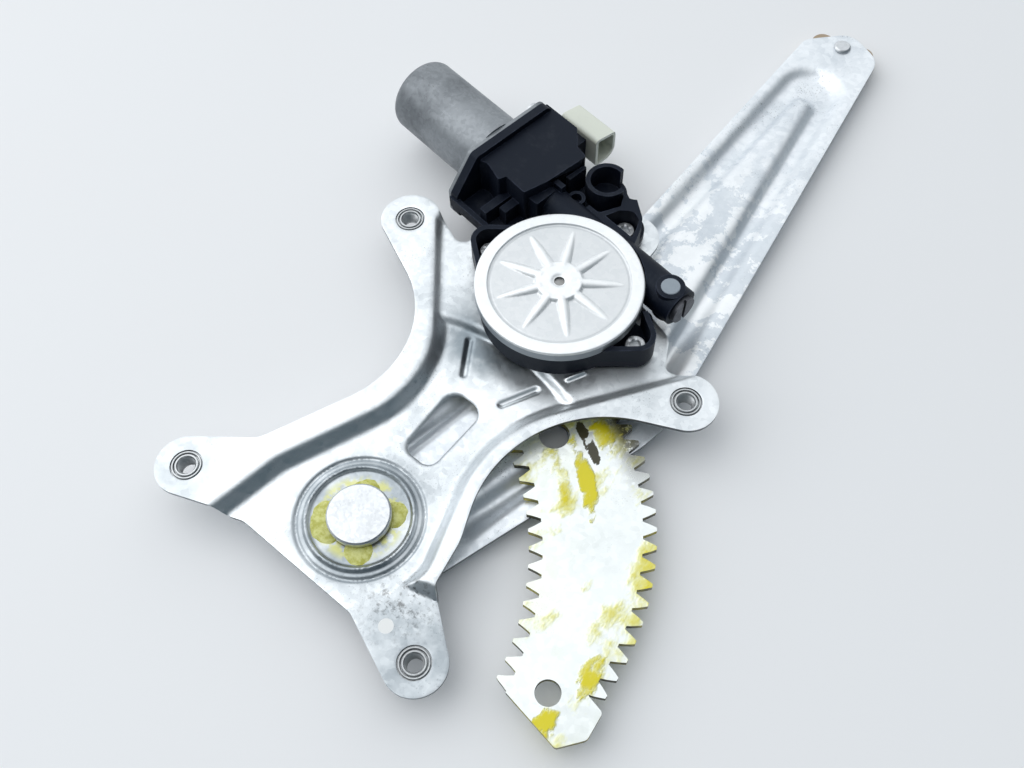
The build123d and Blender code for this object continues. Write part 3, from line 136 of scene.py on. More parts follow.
floor_mesh = bpy.data.meshes.new("floor")
floor_mesh.from_pydata(
    [(x * FLOOR_HALF, y * FLOOR_HALF, -FLOOR_DROP) for x, y in ((-1, -1), (1, -1), (1, 1), (-1, 1))],
    [], [(0, 1, 2, 3)],
)
floor = added("floor", floor_mesh)
floor_paint, tree, surface = shader("floor", Roughness=0.75)
cloud = put(tree, "ShaderNodeTexNoise", {"Vector": own_place(tree), "Scale": 9.0, "Detail": 3.0})
tree.links.new(blended(tree, cloud.outputs["Fac"], *FLOOR_TONES), surface.inputs["Base Color"])
floor.data.materials.append(floor_paint)

sky = bpy.data.worlds.new("sky")
bpy.context.scene.world = sky
sky.use_nodes = True
tree = sky.node_tree
looking = put(tree, "ShaderNodeTexCoord").outputs["Generated"]
side = put(tree, "ShaderNodeVectorMath", {0: looking, 1: SKY_SIDE}, operation="DOT_PRODUCT")
share = put(
    tree, "ShaderNodeMapRange", {"Value": side.outputs["Value"], "From Min": SKY_FROM, "From Max": SKY_TO},
    interpolation_type="SMOOTHSTEP",
)
colour = blended(tree, share.outputs["Result"], SKY_DARK, SKY_BRIGHT)
seen = put(tree, "ShaderNodeLightPath").outputs["Is Camera Ray"]
tree.links.new(blended(tree, seen, colour, BACKDROP), tree.nodes["Background"].inputs["Color"])

lamp_data = bpy.data.lights.new("lamp", "AREA")
lamp_data.size = LAMP_SIZE
lamp_data.energy = LAMP_POWER
lamp = added("lamp", lamp_data)
lamp.matrix_world = (
    Matrix.Translation(LAMP_AIM + LAMP_SIDE * LAMP_REACH)
    @ LAMP_SIDE.to_track_quat("Z", "Y").to_matrix().to_4x4()
)

# ---- base plate ----------------------------------------------------------
# One pressing of zinc-plated sheet: four eared feet round a recess whose walls fall in soft bends,
# a seat for the motor one step up, a rolled ring round the pivot and a slot with a drawn rim.
MM = 0.001
RIM_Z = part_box("base_plate")[1].z / MM
SHEET_T = 1.6
RECESS_Z = RIM_Z - 6.0
SEAT_Z = RIM_Z - 3.0
LOW_EAR_Z = RIM_Z - 5.0
WALL_RISE = 1.19                # mm up for each mm across
BEND = 1.7                      # over which a wall bends into the flat
STEP_BEND = 1.0                 # the same for the step up to the seat
EAR_BEND = BEND * 0.6           # and for the lowered ear
PITCH = 1.15                    # between the points of a pressed sheet
MOTOR_Y = 122.2                 # output shaft, from the pivot
STEP_R = MOTOR_Y - 29.7
PLATE_EDGE = [
    (-84.9, 132.9, 12.9), (-96.1, 109.5, 12.9), (-20.0, 75.0, 46), (-52.0, -1.9, 10),
    (-81.6, -24.8, 12.3), (-71.0, -43.6, 12.3), (-34.0, -29.3, 10), (23.0, -29.3, 8),
    (59.7, -43.4, 12.1), (69.7, -24.6, 12.1), (41.6, -3.3, 6), (37.8, 15.5, 30),
    (11.3, 76.2, 54), (86.2, 110.2, 12.8), (75.2, 133.8, 12.8), (53.5, 123.6, 4),
    (46.0, 138.0, 8), (16.0, 148.0, 10), (14.0, 182.0, 12), (-16.0, 183.0, 12),
    (-22.0, 146.0, 10), (-53.0, 139.0, 9), (-50.5, 118.3, 5),
]
RECESS_EDGE = [
    (-66.0, 126.0, 2), (-10.6, 60.6, 52), (-36.5, -5.0, 12), (-43.0, -50.0, 2), (27.0, -50.0, 2),
    (31.5, 0.0, 14), (11.1, 58.7, 60), (66.0, 139.5, 2), (60.0, 200.0, 2), (-66.0, 200.0, 2),
]
LOW_EAR_EDGE = [(24.0, -50.0, 2), (80.0, -50.0, 2), (80.0, -10.0, 2), (50.0, -5.0, 8), (25.0, -12.0, 8)]
SLOT_EDGE = [(-9.4, 65.0, 6), (-7.4, 32.2, 5), (7.0, 32.2, 5), (7.0, 65.0, 6)]
SLOT_RIM = 1.3
SLOT_DROP = 0.9
RING_GROOVE = (24.9, 1.5, -1.0)     # radius, half width and height of the groove round the pivot
RING_CREST = (20.9, 1.9, 1.5)
DARTS = [((-19.4, 86.8), (-10.6, 73.0)), ((17.2, 85.6), (10.4, 72.0))]
DART_HALF = 2.4
DART_DEPTH = 1.2
BEAD = ((25.0, 96.5), (28.3, 103.0))
BEAD_HALF = 1.7
BEAD_H = 1.1
EAR_SPOTS = [(-78.6, 115.5), (-65.4, -28.1), (53.7, -28.1), (68.9, 116.5)]
EAR_BORE = 6.5
LUG_SPOTS = [(-38.2, 122.6), (0.4, 167.5), (38.4, 123.6)]
LUG_BORE = 2.6
PIVOT_BORE = 8.5
SHAFT_BORE = 15.2
PLATE_FINE = [(0, 0, 29), (-15, 80, 12), (15, 80, 12), (25.6, 97, 7), (0, 48, 24)]


def rounded(corners, step=1.0):
    """Points of a closed outline through corners given as x, y and the radius that rounds each."""
    points = []
    for i, (x, y, radius) in enumerate(corners):
        corner = complex(x, y)
        before = complex(*corners[i - 1][:2]) - corner
        after = complex(*corners[(i + 1) % len(corners)][:2]) - corner
        turn = cmath.phase(after / before)
        half = abs(turn) / 2
        start = corner + before / abs(before) * radius / math.tan(half)
        middle = corner + (before / abs(before) + after / abs(after)) * radius / math.sin(2 * half)
        sweep = math.copysign(math.pi - 2 * half, -turn)
        count = max(2, math.ceil(abs(sweep) * radius / step))
        points += [middle + (start - middle) * cmath.exp(1j * sweep * k / count) for k in range(count + 1)]
    return np.array([(spot.real, spot.imag) for spot in points])


def divided(outline, step):
    """The same closed outline with its straight runs divided."""
    spots = []
    for spot, ahead in zip(outline, np.roll(outline, -1, axis=0)):
        count = max(1, round(np.linalg.norm(ahead - spot) / step))
        spots += [spot + (ahead - spot) * k / count for k in range(count)]
    return np.array(spots)


def circle(x, y, radius, count=40):
    """Points of a closed circle."""
    turns = np.arange(count) * 2 * math.pi / count
    return np.stack([x + radius * np.cos(turns), y + radius * np.sin(turns)], 1)


def outside(points, outline, block=3000):
    """Distance of each point from a closed outline, negative inside it."""
    start, end = outline, np.roll(outline, -1, axis=0)
    along = end - start
    parts = []
    for first in range(0, len(points), block):
        spots = points[first:first + block, None]
        offset = spots - start
        share = np.clip((offset * along).sum(2) / (along**2).sum(1), 0, 1)
        gap = np.linalg.norm(offset - share[..., None] * along, axis=2).min(1)
        spans = (start[:, 1] > spots[..., 1]) != (end[:, 1] > spots[..., 1])
        rise = np.where(along[:, 1] == 0, 1, along[:, 1])
        left = spots[..., 0] < start[:, 0] + (spots[..., 1] - start[:, 1]) * along[:, 0] / rise
        parts.append(np.where((spans & left).sum(1) % 2 == 1, -gap, gap))
    return np.concatenate(parts)


def lower(a, b, bend):
    """The lower of two heights, with the bend between them rounded."""
    near = np.maximum(bend - np.abs(a - b), 0) / bend
    return np.minimum(a, b) - near**2 * bend / 4


def upper(a, b, bend):
    """The higher of two heights, with the bend between them rounded."""
    return -lower(-a, -b, bend)


def from_stroke(points, start, end):
    """Distance of each point from a straight stroke."""
    start, along = np.array(start), np.subtract(end, start)
    share = np.clip((points - start) @ along / (along @ along), 0, 1)
    return np.linalg.norm(points - start - share[:, None] * along, axis=1)


def swell(distance, half):
    """Rounded profile of a bead: 1 on its line, 0 from half its width on."""
    return np.cos(np.clip(np.abs(distance) / half, 0, 1) * math.pi / 2) ** 2


def new_piece(name, vertices, faces):
    """Object in the scene from vertices, in metres, and faces."""
    mesh = bpy.data.meshes.new(name)
    mesh.from_pydata(vertices, [], faces)
    mesh.validate()
    return added(name, mesh)


@contextlib.contextmanager
def reshaped(mesh):
    """A bmesh of a mesh, written back to it at the end."""
    shape = bmesh.new()
    shape.from_mesh(mesh)
    yield shape
    shape.to_mesh(mesh)
    shape.free()


def applied(piece):
    """Makes a piece's modifiers part of its mesh, and returns that mesh."""
    bpy.context.view_layer.update()
    evaluated = piece.evaluated_get(bpy.context.evaluated_depsgraph_get())
    mesh = bpy.data.meshes.new_from_object(evaluated)
    piece.modifiers.clear()
    piece.data = mesh
    mesh.name = piece.name
    return mesh


def finished(piece, crease=38.0):
    """Applies a piece's modifiers, clears faces of no size and shades it smooth between creases."""
    mesh = applied(piece)
    with reshaped(mesh) as shape:
        bmesh.ops.dissolve_degenerate(shape, edges=shape.edges, dist=1e-7)
    mesh.shade_smooth()
    mesh.set_sharp_from_angle(angle=math.radians(crease))
    return piece


def thickened(piece, thickness):
    """Thickness in metres, below a piece's surface."""
    solid = piece.modifiers.new("thickness", "SOLIDIFY")
    solid.thickness = thickness
    solid.offset = -1


def eased(piece, width, limit=50.0):
    """Bevel, with its width in metres, on a piece's edges sharper than a limit in degrees."""
    bevel = piece.modifiers.new("edges", "BEVEL")
    bevel.width = width
    bevel.segments = 2
    bevel.limit_method = "ANGLE"
    bevel.angle_limit = math.radians(limit)
    return piece


SLIVER = 0.06                   # share of the pitch that the middle of a true triangle lies inside an edge
CLEAR = 0.55                    # share of the pitch that the lattice keeps from every edge


def pressed_sheet(name, edge, holes, height, thickness, pitch=PITCH, ease=0.22, fine=()):
    """Sheet of even thickness in mm, cut to an outline with holes, its upper face at height(points).

    Points lie twice as close where fine, a list of x, y and radius, says so.
    """
    loops = [divided(loop, pitch) for loop in (edge, *holes)]
    low, high = edge.min(0), edge.max(0)
    xs = np.arange(low[0], high[0], pitch)
    ys = np.arange(low[1], high[1], pitch * math.sqrt(3) / 2)
    lattice = np.stack(np.meshgrid(xs, ys), 2)
    lattice[1::2, :, 0] += pitch / 2
    lattice = lattice.reshape(-1, 2)
    for x, y, radius in fine:
        near = np.hypot(*(lattice - (x, y)).T) < radius
        half_step = lattice[near] + (pitch / 2, 0)
        quarter = lattice[near] + (pitch / 4, pitch * math.sqrt(3) / 4)
        lattice = np.concatenate([lattice, half_step, quarter, quarter - (pitch / 2, 0)])
    keep = outside(lattice, edge) < -CLEAR * pitch
    for hole in holes:
        keep &= outside(lattice, hole) > CLEAR * pitch
    spots = np.concatenate([*loops, lattice[keep]])
    rims, first = [], 0
    for loop in loops:
        rims += [(first + k, first + (k + 1) % len(loop)) for k in range(len(loop))]
        first += len(loop)
    flat = delaunay_2d_cdt([Vector(s) for s in spots], rims, [], 0, 1e-6)
    spots = np.array([tuple(v) for v in flat[0]])
    faces = np.array([f for f in flat[2] if len(f) == 3])
    middles = spots[faces].mean(1)
    keep = outside(middles, edge) < -SLIVER * pitch
    for hole in holes:
        keep &= outside(middles, hole) > SLIVER * pitch
    heights = height(spots)
    piece = new_piece(name, np.column_stack([spots, heights]) * MM, faces[keep].tolist())
    thickened(piece, thickness * MM)
    eased(piece, ease * MM)
    return finished(piece)


def plate_height(points):
    """Height of the plate's upper face, in mm."""
    recess = outside(points, rounded(RECESS_EDGE))
    low_ear = outside(points, rounded(LOW_EAR_EDGE))
    slot = outside(points, rounded(SLOT_EDGE))
    from_pivot = np.hypot(*points.T)
    step = RECESS_Z + (from_pivot - STEP_R) * WALL_RISE
    step = upper(np.full(len(points), RECESS_Z), step, STEP_BEND)
    z = lower(step, SEAT_Z, STEP_BEND)
    for start, end in DARTS:
        z -= DART_DEPTH * swell(from_stroke(points, start, end), DART_HALF)
    z += BEAD_H * swell(from_stroke(points, *BEAD), BEAD_HALF)
    for radius, half, rise in (RING_GROOVE, RING_CREST):
        z += rise * swell(from_pivot - radius, half)
    z -= SLOT_DROP * swell(np.maximum(slot, 0), SLOT_RIM)
    z = upper(z, RECESS_Z + recess * WALL_RISE, BEND)
    z = lower(z, RIM_Z, BEND)
    ear = LOW_EAR_Z + np.maximum(low_ear, 0) * WALL_RISE
    return lower(z, np.maximum(ear, LOW_EAR_Z), EAR_BEND)


plate_holes = [circle(x, y, EAR_BORE) for x, y in EAR_SPOTS]
plate_holes += [circle(x, y, LUG_BORE, 16) for x, y in LUG_SPOTS]
plate_holes += [circle(0, 0, PIVOT_BORE), circle(0, MOTOR_Y, SHAFT_BORE, 64), rounded(SLOT_EDGE)]
plate = pressed_sheet(
    "plate_pressing", rounded(PLATE_EDGE), plate_holes, plate_height, SHEET_T, fine=PLATE_FINE
)


def bumped(tree, surface, height, depth):
    """Feeds a height that varies over the surface to the shader's normal, as a bump of a depth in metres."""
    bump = put(tree, "ShaderNodeBump", {"Height": height, "Distance": depth, "Strength": 1.0})
    tree.links.new(bump.outputs["Normal"], surface.inputs["Normal"])


def new_group(name, inputs, outputs):
    """Empty shader node group with named sockets, its input and output nodes placed."""
    group = bpy.data.node_groups.new(name, "ShaderNodeTree")
    for socket, kind, value in inputs:
        made = group.interface.new_socket(socket, in_out="INPUT", socket_type=kind)
        made.default_value = value
    for socket, kind in outputs:
        group.interface.new_socket(socket, in_out="OUTPUT", socket_type=kind)
    return group, group.nodes.new("NodeGroupInput").outputs, group.nodes.new("NodeGroupOutput").inputs


def maths(tree, operation, a, b=0.0, clamp=False):
    """Output of one Math node."""
    return put(tree, "ShaderNodeMath", {0: a, 1: b}, operation=operation, use_clamp=clamp).outputs[0]


def times(tree, a, b, clamp=False):
    """Output of a product."""
    return maths(tree, "MULTIPLY", a, b, clamp)


def plus(tree, a, b):
    """Output of a sum."""
    return maths(tree, "ADD", a, b)


def between(tree, value, low, high, to_low=0.0, to_high=1.0):
    """Output of a smooth step from low to high."""
    fills = {"Value": value, "From Min": low, "From Max": high, "To Min": to_low, "To Max": to_high}
    return put(tree, "ShaderNodeMapRange", fills, interpolation_type="SMOOTHSTEP").outputs["Result"]


def away(tree, where, spot):
    """Output of a distance from a spot."""
    return put(tree, "ShaderNodeVectorMath", {0: where, 1: spot}, operation="DISTANCE").outputs["Value"]


def axes(tree, vector):
    """Outputs of a vector's x, y and z."""
    return put(tree, "ShaderNodeSeparateXYZ", {"Vector": vector}).outputs


def level(tree):
    """Output that is 1 on faces that lie flat and 0 on upright ones."""
    normal = put(tree, "ShaderNodeNewGeometry").outputs["Normal"]
    return maths(tree, "ABSOLUTE", axes(tree, normal)[2])


def noise(tree, where, scale, detail=3.0, roughness=0.55, output="Fac"):
    """Output of a noise texture with features of 1/scale metres."""
    fills = {"Vector": where, "Scale": scale, "Detail": detail, "Roughness": roughness}
    return put(tree, "ShaderNodeTexNoise", fills).outputs[output]


# Hot-dip zinc: crystals a few millimetres across that differ a little in tone and shine, fine dark
# specks and dull stains, and painted shade on upright faces such as cut edges. Every piece of metal uses it
# with its own values.
SPECK_TONE = (0.10, 0.10, 0.10, 1)
UPRIGHT_SHADE_TONE = (0.055, 0.065, 0.075, 1)     # painted shade on upright faces: cut edges and the walls of holes and slots
CRYSTAL_SHARE, STAIN_SHINE, CRYSTAL_SHINE = 0.22, 0.14, 0.10
ZINC_BUMP = 0.00002
zinc_look, given, out = new_group(
    "zinc_look",
    [("Bright", "NodeSocketColor", (0.8, 0.82, 0.84, 1)), ("Dull", "NodeSocketColor", (0.45, 0.49, 0.52, 1)),
     ("Crystal", "NodeSocketFloat", 420.0), ("Stain", "NodeSocketFloat", 0.4),
     ("Specks", "NodeSocketFloat", 0.5), ("Roughness", "NodeSocketFloat", 0.34),
     ("Cut_Edge", "NodeSocketFloat", 0.0)],
    [("Color", "NodeSocketColor"), ("Roughness", "NodeSocketFloat"), ("Height", "NodeSocketFloat")],
)
tree = zinc_look
where = own_place(tree)
wavy = noise(tree, where, 160.0, output="Color")
bent = put(tree, "ShaderNodeVectorMath", {0: wavy, "Scale": 0.004}, operation="SCALE").outputs[0]
bent = put(tree, "ShaderNodeVectorMath", {0: where, 1: bent}, operation="ADD").outputs[0]
crystal = put(tree, "ShaderNodeTexVoronoi", {"Vector": bent, "Scale": given["Crystal"]})
crystal_tone = put(tree, "ShaderNodeSeparateColor", {0: crystal.outputs["Color"]}).outputs[0]
cloud = between(tree, noise(tree, where, 28.0, 5.0, 0.6), 0.42, 0.72)
stain = times(tree, cloud, given["Stain"])
fine = noise(tree, where, 900.0, 2.0)
speck = between(tree, noise(tree, where, 1500.0, 1.0), 0.62, 0.74)
patch = between(tree, noise(tree, where, 45.0, 3.0), 0.48, 0.66)
speck = times(tree, times(tree, speck, patch), given["Specks"], clamp=True)
tone = times(tree, crystal_tone, CRYSTAL_SHARE)
tone = plus(tree, plus(tree, tone, stain), times(tree, fine, 0.12))
metal = blended(tree, tone, given["Bright"], given["Dull"])
metal = blended(tree, speck, metal, SPECK_TONE)
# painted shade: upright faces, such as cut edges and the walls of holes and slots, are darkened by this share
cut = between(tree, level(tree), 0.45, 0.22)
metal = blended(tree, times(tree, cut, given["Cut_Edge"]), metal, UPRIGHT_SHADE_TONE)
tree.links.new(metal, out["Color"])
rough = plus(tree, given["Roughness"], times(tree, crystal_tone, CRYSTAL_SHINE))
tree.links.new(plus(tree, rough, times(tree, cloud, STAIN_SHINE)), out["Roughness"])
tree.links.new(plus(tree, times(tree, crystal_tone, 0.25), fine), out["Height"])


def coated(name, look, values, depth, **plain):
    """New material with a look's node group, its values and a bump of a depth in metres."""
    material, tree, surface = shader(name, **plain)
    coat = put(tree, "ShaderNodeGroup", values, node_tree=look)
    tree.links.new(coat.outputs["Color"], surface.inputs["Base Color"])
    tree.links.new(coat.outputs["Roughness"], surface.inputs["Roughness"])
    bumped(tree, surface, coat.outputs["Height"], depth)
    return material, tree, surface, coat


def zinc(name, metallic=0.92, **look):
    """Zinc-plated steel: its shared look, with this piece's own values."""
    return coated(name, zinc_look, look, ZINC_BUMP, Metallic=metallic)


DIRT_SPOT = (0.036, -0.0155, 0.015)     # in the corner of the lower ear
DIRT_REACH = (4, 21)            # radii in mm where the dirt is full and gone
DIRT_TONE = (0.16, 0.15, 0.14, 1)
SHADE_SPOTS = [                  # painted shade: x, y, full and fading radius in mm, and strength
    (-14.0, 90.0, 9, 26, 0.9), (50.0, -28.0, 14, 32, 0.62), (-66.0, -30.0, 6, 24, 0.45),
    (4.0, 96.0, 6, 22, 0.8),
]
DISH_SHADE = (33, 20)            # radii in mm where the painted shade in the dish begins and is full
PLATE_SHADE_TONE = (0.20, 0.24, 0.27, 1)
YELLOW_RING = (19, 15)          # radii in mm, the same for the yellow of the grease
YELLOW_TONE = (0.55, 0.55, 0.16, 1)
DOT_SPOT = (0.0368, -0.0247, 0.0)
DOT_RIM = (3.0, 2.7)            # radii in mm where the paint begins and is full
DOT_TONE = (0.84, 0.85, 0.84, 1)
# its last value sets how much painted shade falls on the plate's upright faces
plate_zinc, tree, surface, coat = zinc(
    "plate_zinc", Bright=(0.90, 0.93, 0.95, 1), Roughness=0.28, Cut_Edge=0.85
)
where = own_place(tree)
settled = between(tree, away(tree, where, DIRT_SPOT), DIRT_REACH[0] * MM, DIRT_REACH[1] * MM, 1.0, 0.0)
grit = between(tree, noise(tree, where, 420.0, 6.0, 0.7), 0.50, 0.66)
dirt = times(tree, times(tree, grit, settled), 0.85)
colour = blended(tree, dirt, coat.outputs["Color"], DIRT_TONE)
# painted shade: darker in the dish, along the black gear case and cover where their reflection and shadow
# fall, and on two ears; yellow where it meets the grease at the head
flat = put(tree, "ShaderNodeVectorMath", {0: where, 1: (1.0, 1.0, 0.0)}, operation="MULTIPLY").outputs[0]
from_pivot = put(tree, "ShaderNodeVectorMath", {0: flat}, operation="LENGTH").outputs["Value"]
cloudy = between(tree, noise(tree, where, 75.0, 4.0), 0.30, 0.62, 0.5, 1.0)
tint_share = between(tree, from_pivot, DISH_SHADE[0] * MM, DISH_SHADE[1] * MM, 0.0, 0.75)
for x, y, core, reach, most in SHADE_SPOTS:
    spot = away(tree, flat, (x * MM, y * MM, 0))
    tint_share = maths(tree, "MAXIMUM", tint_share, between(tree, spot, reach * MM, core * MM, 0.0, most))
# the painted shade is laid over the plate's colour in clouds
colour = blended(tree, times(tree, tint_share, cloudy), colour, PLATE_SHADE_TONE)
smear = between(tree, noise(tree, where, 210.0, 5.0), 0.44, 0.60, 0.0, 0.75)
yellow = times(tree, between(tree, from_pivot, YELLOW_RING[0] * MM, YELLOW_RING[1] * MM), smear)
colour = blended(tree, yellow, colour, YELLOW_TONE)
# a dot of white paint
dot = between(tree, away(tree, flat, DOT_SPOT), DOT_RIM[0] * MM, DOT_RIM[1] * MM)
tree.links.new(blended(tree, dot, colour, DOT_TONE), surface.inputs["Base Color"])
tree.links.new(between(tree, dot, 0.0, 1.0, 0.92, 0.0), surface.inputs["Metallic"])
plate.data.materials.append(plate_zinc)
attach(plate, "base")
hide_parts("base_plate")

# ---- lift arm ------------------------------------------------------------
# A long pressing of 1.8 mm zinc-plated sheet that narrows to the tip. One forked groove is pressed
# down round a raised tongue and stiffens it; the gear sector is riveted on near the pivot.
ARM_TOP_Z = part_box("lift_arm")[1].z / MM
ARM_T = 1.8
GROOVE_DROP = 4.2
GROOVE_RISE = 1.0
ARM_BEND = 2.6
ARM_PITCH = 1.3
ARM_EDGE = [
    (-31.1, -28.0, 24), (27.3, -28.0, 21), (67.4, 103.9, 60), (29.6, 340.5, 12), (9.5, 348.6, 10),
    (-6.9, 331.0, 8), (-3.3, 150.0, 60),
]
GROOVE_EDGE = [
    (-15.0, 34.0, 3), (31.5, 20.0, 3), (54.5, 114.0, 20), (23.7, 314.1, 11), (1.9, 314.1, 11),
    (5.0, 150.0, 60),
]
TONGUE_EDGE = [
    (-10.5, 12.0, 1), (24.5, 12.0, 1), (27.6, 21.0, 1), (50.6, 115.0, 16), (21.2, 299.0, 5), (8.8, 299.0, 5),
    (9.2, 150.0, 40), (-10.5, 30.0, 2),
]
ARM_RIVETS = [(10.03, 88.05), (30.0, 95.2), (13.93, 102.96)]
ARM_WINDOW = (34.68, 75.75, 6.2)
TIP = (10.9, 337.2)
TONGUE_BEND = ARM_BEND * 0.5
ARM_PIVOT_BORE = 5.5
PIN_BORE = 3.0
MARKS_FADE = ((0.290, 0.190), (0.090, 0.120))   # runs of y where the flux marks come and go
MARK_TONES = ((0.60, 0.65, 0.70, 1), (0.98, 0.99, 0.99, 1))


def arm_height(points):
    """Height of the arm's upper face, in mm."""
    groove = outside(points, rounded(GROOVE_EDGE))
    tongue = -outside(points, rounded(TONGUE_EDGE))
    bottom = ARM_TOP_Z - GROOVE_DROP
    z = upper(bottom + groove * GROOVE_RISE, np.full(len(points), bottom), ARM_BEND)
    z = upper(z, bottom + tongue * GROOVE_RISE, TONGUE_BEND)
    return lower(z, np.full(len(points), ARM_TOP_Z), ARM_BEND)


arm_holes = [circle(0, 0, ARM_PIVOT_BORE), circle(*TIP, PIN_BORE, 20), circle(*ARM_WINDOW)]
arm_holes += [circle(x, y, PIN_BORE, 20) for x, y in ARM_RIVETS]
arm = pressed_sheet("arm_pressing", rounded(ARM_EDGE), arm_holes, arm_height, ARM_T, ARM_PITCH)
# its last value sets how much painted shade falls on the arm's upright faces
arm_zinc, tree, surface, coat = zinc(
    "arm_zinc", metallic=0.78, Bright=(0.90, 0.93, 0.96, 1), Dull=(0.50, 0.55, 0.60, 1), Stain=0.4,
    Specks=0.9, Cut_Edge=0.85,
)
# bleached flux marks with crisp rims on the half next to the sector
where = own_place(tree)
along = axes(tree, where)[1]
marks = between(tree, noise(tree, where, 78.0, 8.0, 0.68), 0.475, 0.515)
marked = blended(tree, marks, *MARK_TONES)
share = times(tree, between(tree, along, *MARKS_FADE[0]), between(tree, along, *MARKS_FADE[1], 0.0, 0.6))
tree.links.new(blended(tree, share, coat.outputs["Color"], marked), surface.inputs["Base Color"])
arm.data.materials.append(arm_zinc)
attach(arm, "lift_arm")
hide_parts("lift_arm")

# ---- gear sector ---------------------------------------------------------
# Stamped from 2.8 mm strip, zinc plated and riveted on top of the arm. Its teeth are packed with
# yellow grease that has smeared over the face and gone dark where the pinion has worked it.
COPY_LIMIT = 32.0               # degrees between faces, from which a copied edge is eased


def copied(node, name, ease):
    """Piece from a CAD node's mesh: its triangles joined, its edges eased by a width in metres."""
    piece = added(name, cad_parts[node].data.copy())
    piece.data.materials.clear()
    with reshaped(piece.data) as shape:
        bmesh.ops.remove_doubles(shape, verts=shape.verts, dist=2e-6)
        bmesh.ops.dissolve_limit(
            shape, angle_limit=math.radians(0.5), verts=shape.verts, edges=shape.edges,
            use_dissolve_boundaries=False,
        )
    if piece.data.has_custom_normals:
        bpy.context.view_layer.objects.active = piece
        bpy.ops.mesh.customdata_custom_splitnormals_clear()
    eased(piece, ease, COPY_LIMIT)
    finished(piece)
    weigh = piece.modifiers.new("flat faces", "WEIGHTED_NORMAL")
    weigh.keep_sharp = True
    weigh.weight = 80
    applied(piece)
    return piece


def settle(piece, body, node, material):
    """Gives a finished piece its material and body, and hides its CAD node."""
    piece.data.materials.clear()
    piece.data.materials.append(material)
    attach(piece, body)
    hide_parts(node)


GREASE_STREAKS = [              # turn in radians, radius in mm, length in radians, width in mm, strength
    (0.90, 88.8, 0.24, 4.2, 0.30), (0.36, 90.4, 0.20, 3.4, 0.10), (0.08, 104.5, 0.09, 6.0, 0.26),
    (-0.14, 102.9, 0.07, 5.5, 0.34), (1.06, 101.0, 0.09, 5.5, 0.24), (0.92, 79.5, 0.16, 5.0, 0.16),
]
RUBBED_STREAK = (1.05, 94.4, 0.15, 2.6)
GREASE_BY_TIPS = (0.098, 0.112)         # radii over which the grease thickens to the teeth's tips
GREASE_BY_ROOTS = (0.074, 0.084)        # and to the strip's inner edge
WORKED_TURNS, WORKED_RADII = (0.72, 1.05), (0.100, 0.110)   # where the pinion has blackened it
FILM_YELLOW = (0.84, 0.86, 0.58, 1)
GREASE_TONES = ((0.88, 0.88, 0.42, 1), (0.76, 0.66, 0.01, 1))       # thin and thick
GREASE_AND_SHADE_TONES = ((0.07, 0.065, 0.04, 1), (0.42, 0.36, 0.03, 1))  # on upright faces, brown to ochre: old grease between the teeth and painted shade on the cut edges
SOOT_TONE = (0.06, 0.055, 0.03, 1)
sector_zinc, tree, surface, coat = zinc(
    "sector_zinc", Bright=(0.90, 0.93, 0.93, 1), Dull=(0.66, 0.70, 0.68, 1), Stain=0.35, Specks=0.3
)
where = own_place(tree)
spot = axes(tree, where)
radius = maths(tree, "SQRT", plus(tree, times(tree, spot[0], spot[0]), times(tree, spot[1], spot[1])))
turn = maths(tree, "ARCTAN2", spot[1], spot[0])
near_tip = between(tree, radius, *GREASE_BY_TIPS)
near_root = between(tree, radius, *GREASE_BY_ROOTS, 1.0, 0.0)
edge_share = maths(tree, "MAXIMUM", near_tip, near_root)
streaks = put(tree, "ShaderNodeMapping", {"Vector": where, "Scale": (1.0, 0.55, 1.0)}).outputs[0]
patchy = noise(tree, streaks, 62.0, 5.0, 0.62)
patchy = plus(tree, patchy, times(tree, edge_share, 0.06))


def smudge(at_turn, at_radius, long, wide):
    """Mask, 1 at its middle, of a streak along the teeth's travel: turns in radians, radii in mm."""
    over_turn = maths(tree, "DIVIDE", maths(tree, "SUBTRACT", turn, at_turn), long)
    over_radius = maths(tree, "DIVIDE", maths(tree, "SUBTRACT", radius, at_radius * MM), wide * MM)
    far = plus(tree, times(tree, over_turn, over_turn), times(tree, over_radius, over_radius))
    ragged = times(tree, maths(tree, "SUBTRACT", noise(tree, streaks, 190.0, 5.0, 0.65), 0.5), 2.6)
    return between(tree, plus(tree, far, ragged), 1.0, 0.0)


for *streak, most in GREASE_STREAKS:
    patchy = plus(tree, patchy, times(tree, smudge(*streak), most))
grease = between(tree, patchy, 0.52, 0.64)
thick = between(tree, patchy, 0.56, 0.74)
tint_share = between(tree, noise(tree, streaks, 24.0, 3.0), 0.45, 0.70, 0.0, 0.3)
greased = blended(tree, tint_share, coat.outputs["Color"], FILM_YELLOW)
greased = blended(tree, grease, greased, blended(tree, thick, *GREASE_TONES))
worked = times(tree, between(tree, turn, *WORKED_TURNS), between(tree, radius, *WORKED_RADII))
soot = times(tree, worked, between(tree, noise(tree, where, 150.0, 5.0, 0.7), 0.34, 0.48))
rub = times(tree, smudge(*RUBBED_STREAK), between(tree, noise(tree, streaks, 300.0, 3.0), 0.30, 0.55))
soot = maths(tree, "MAXIMUM", soot, between(tree, rub, 0.12, 0.45))
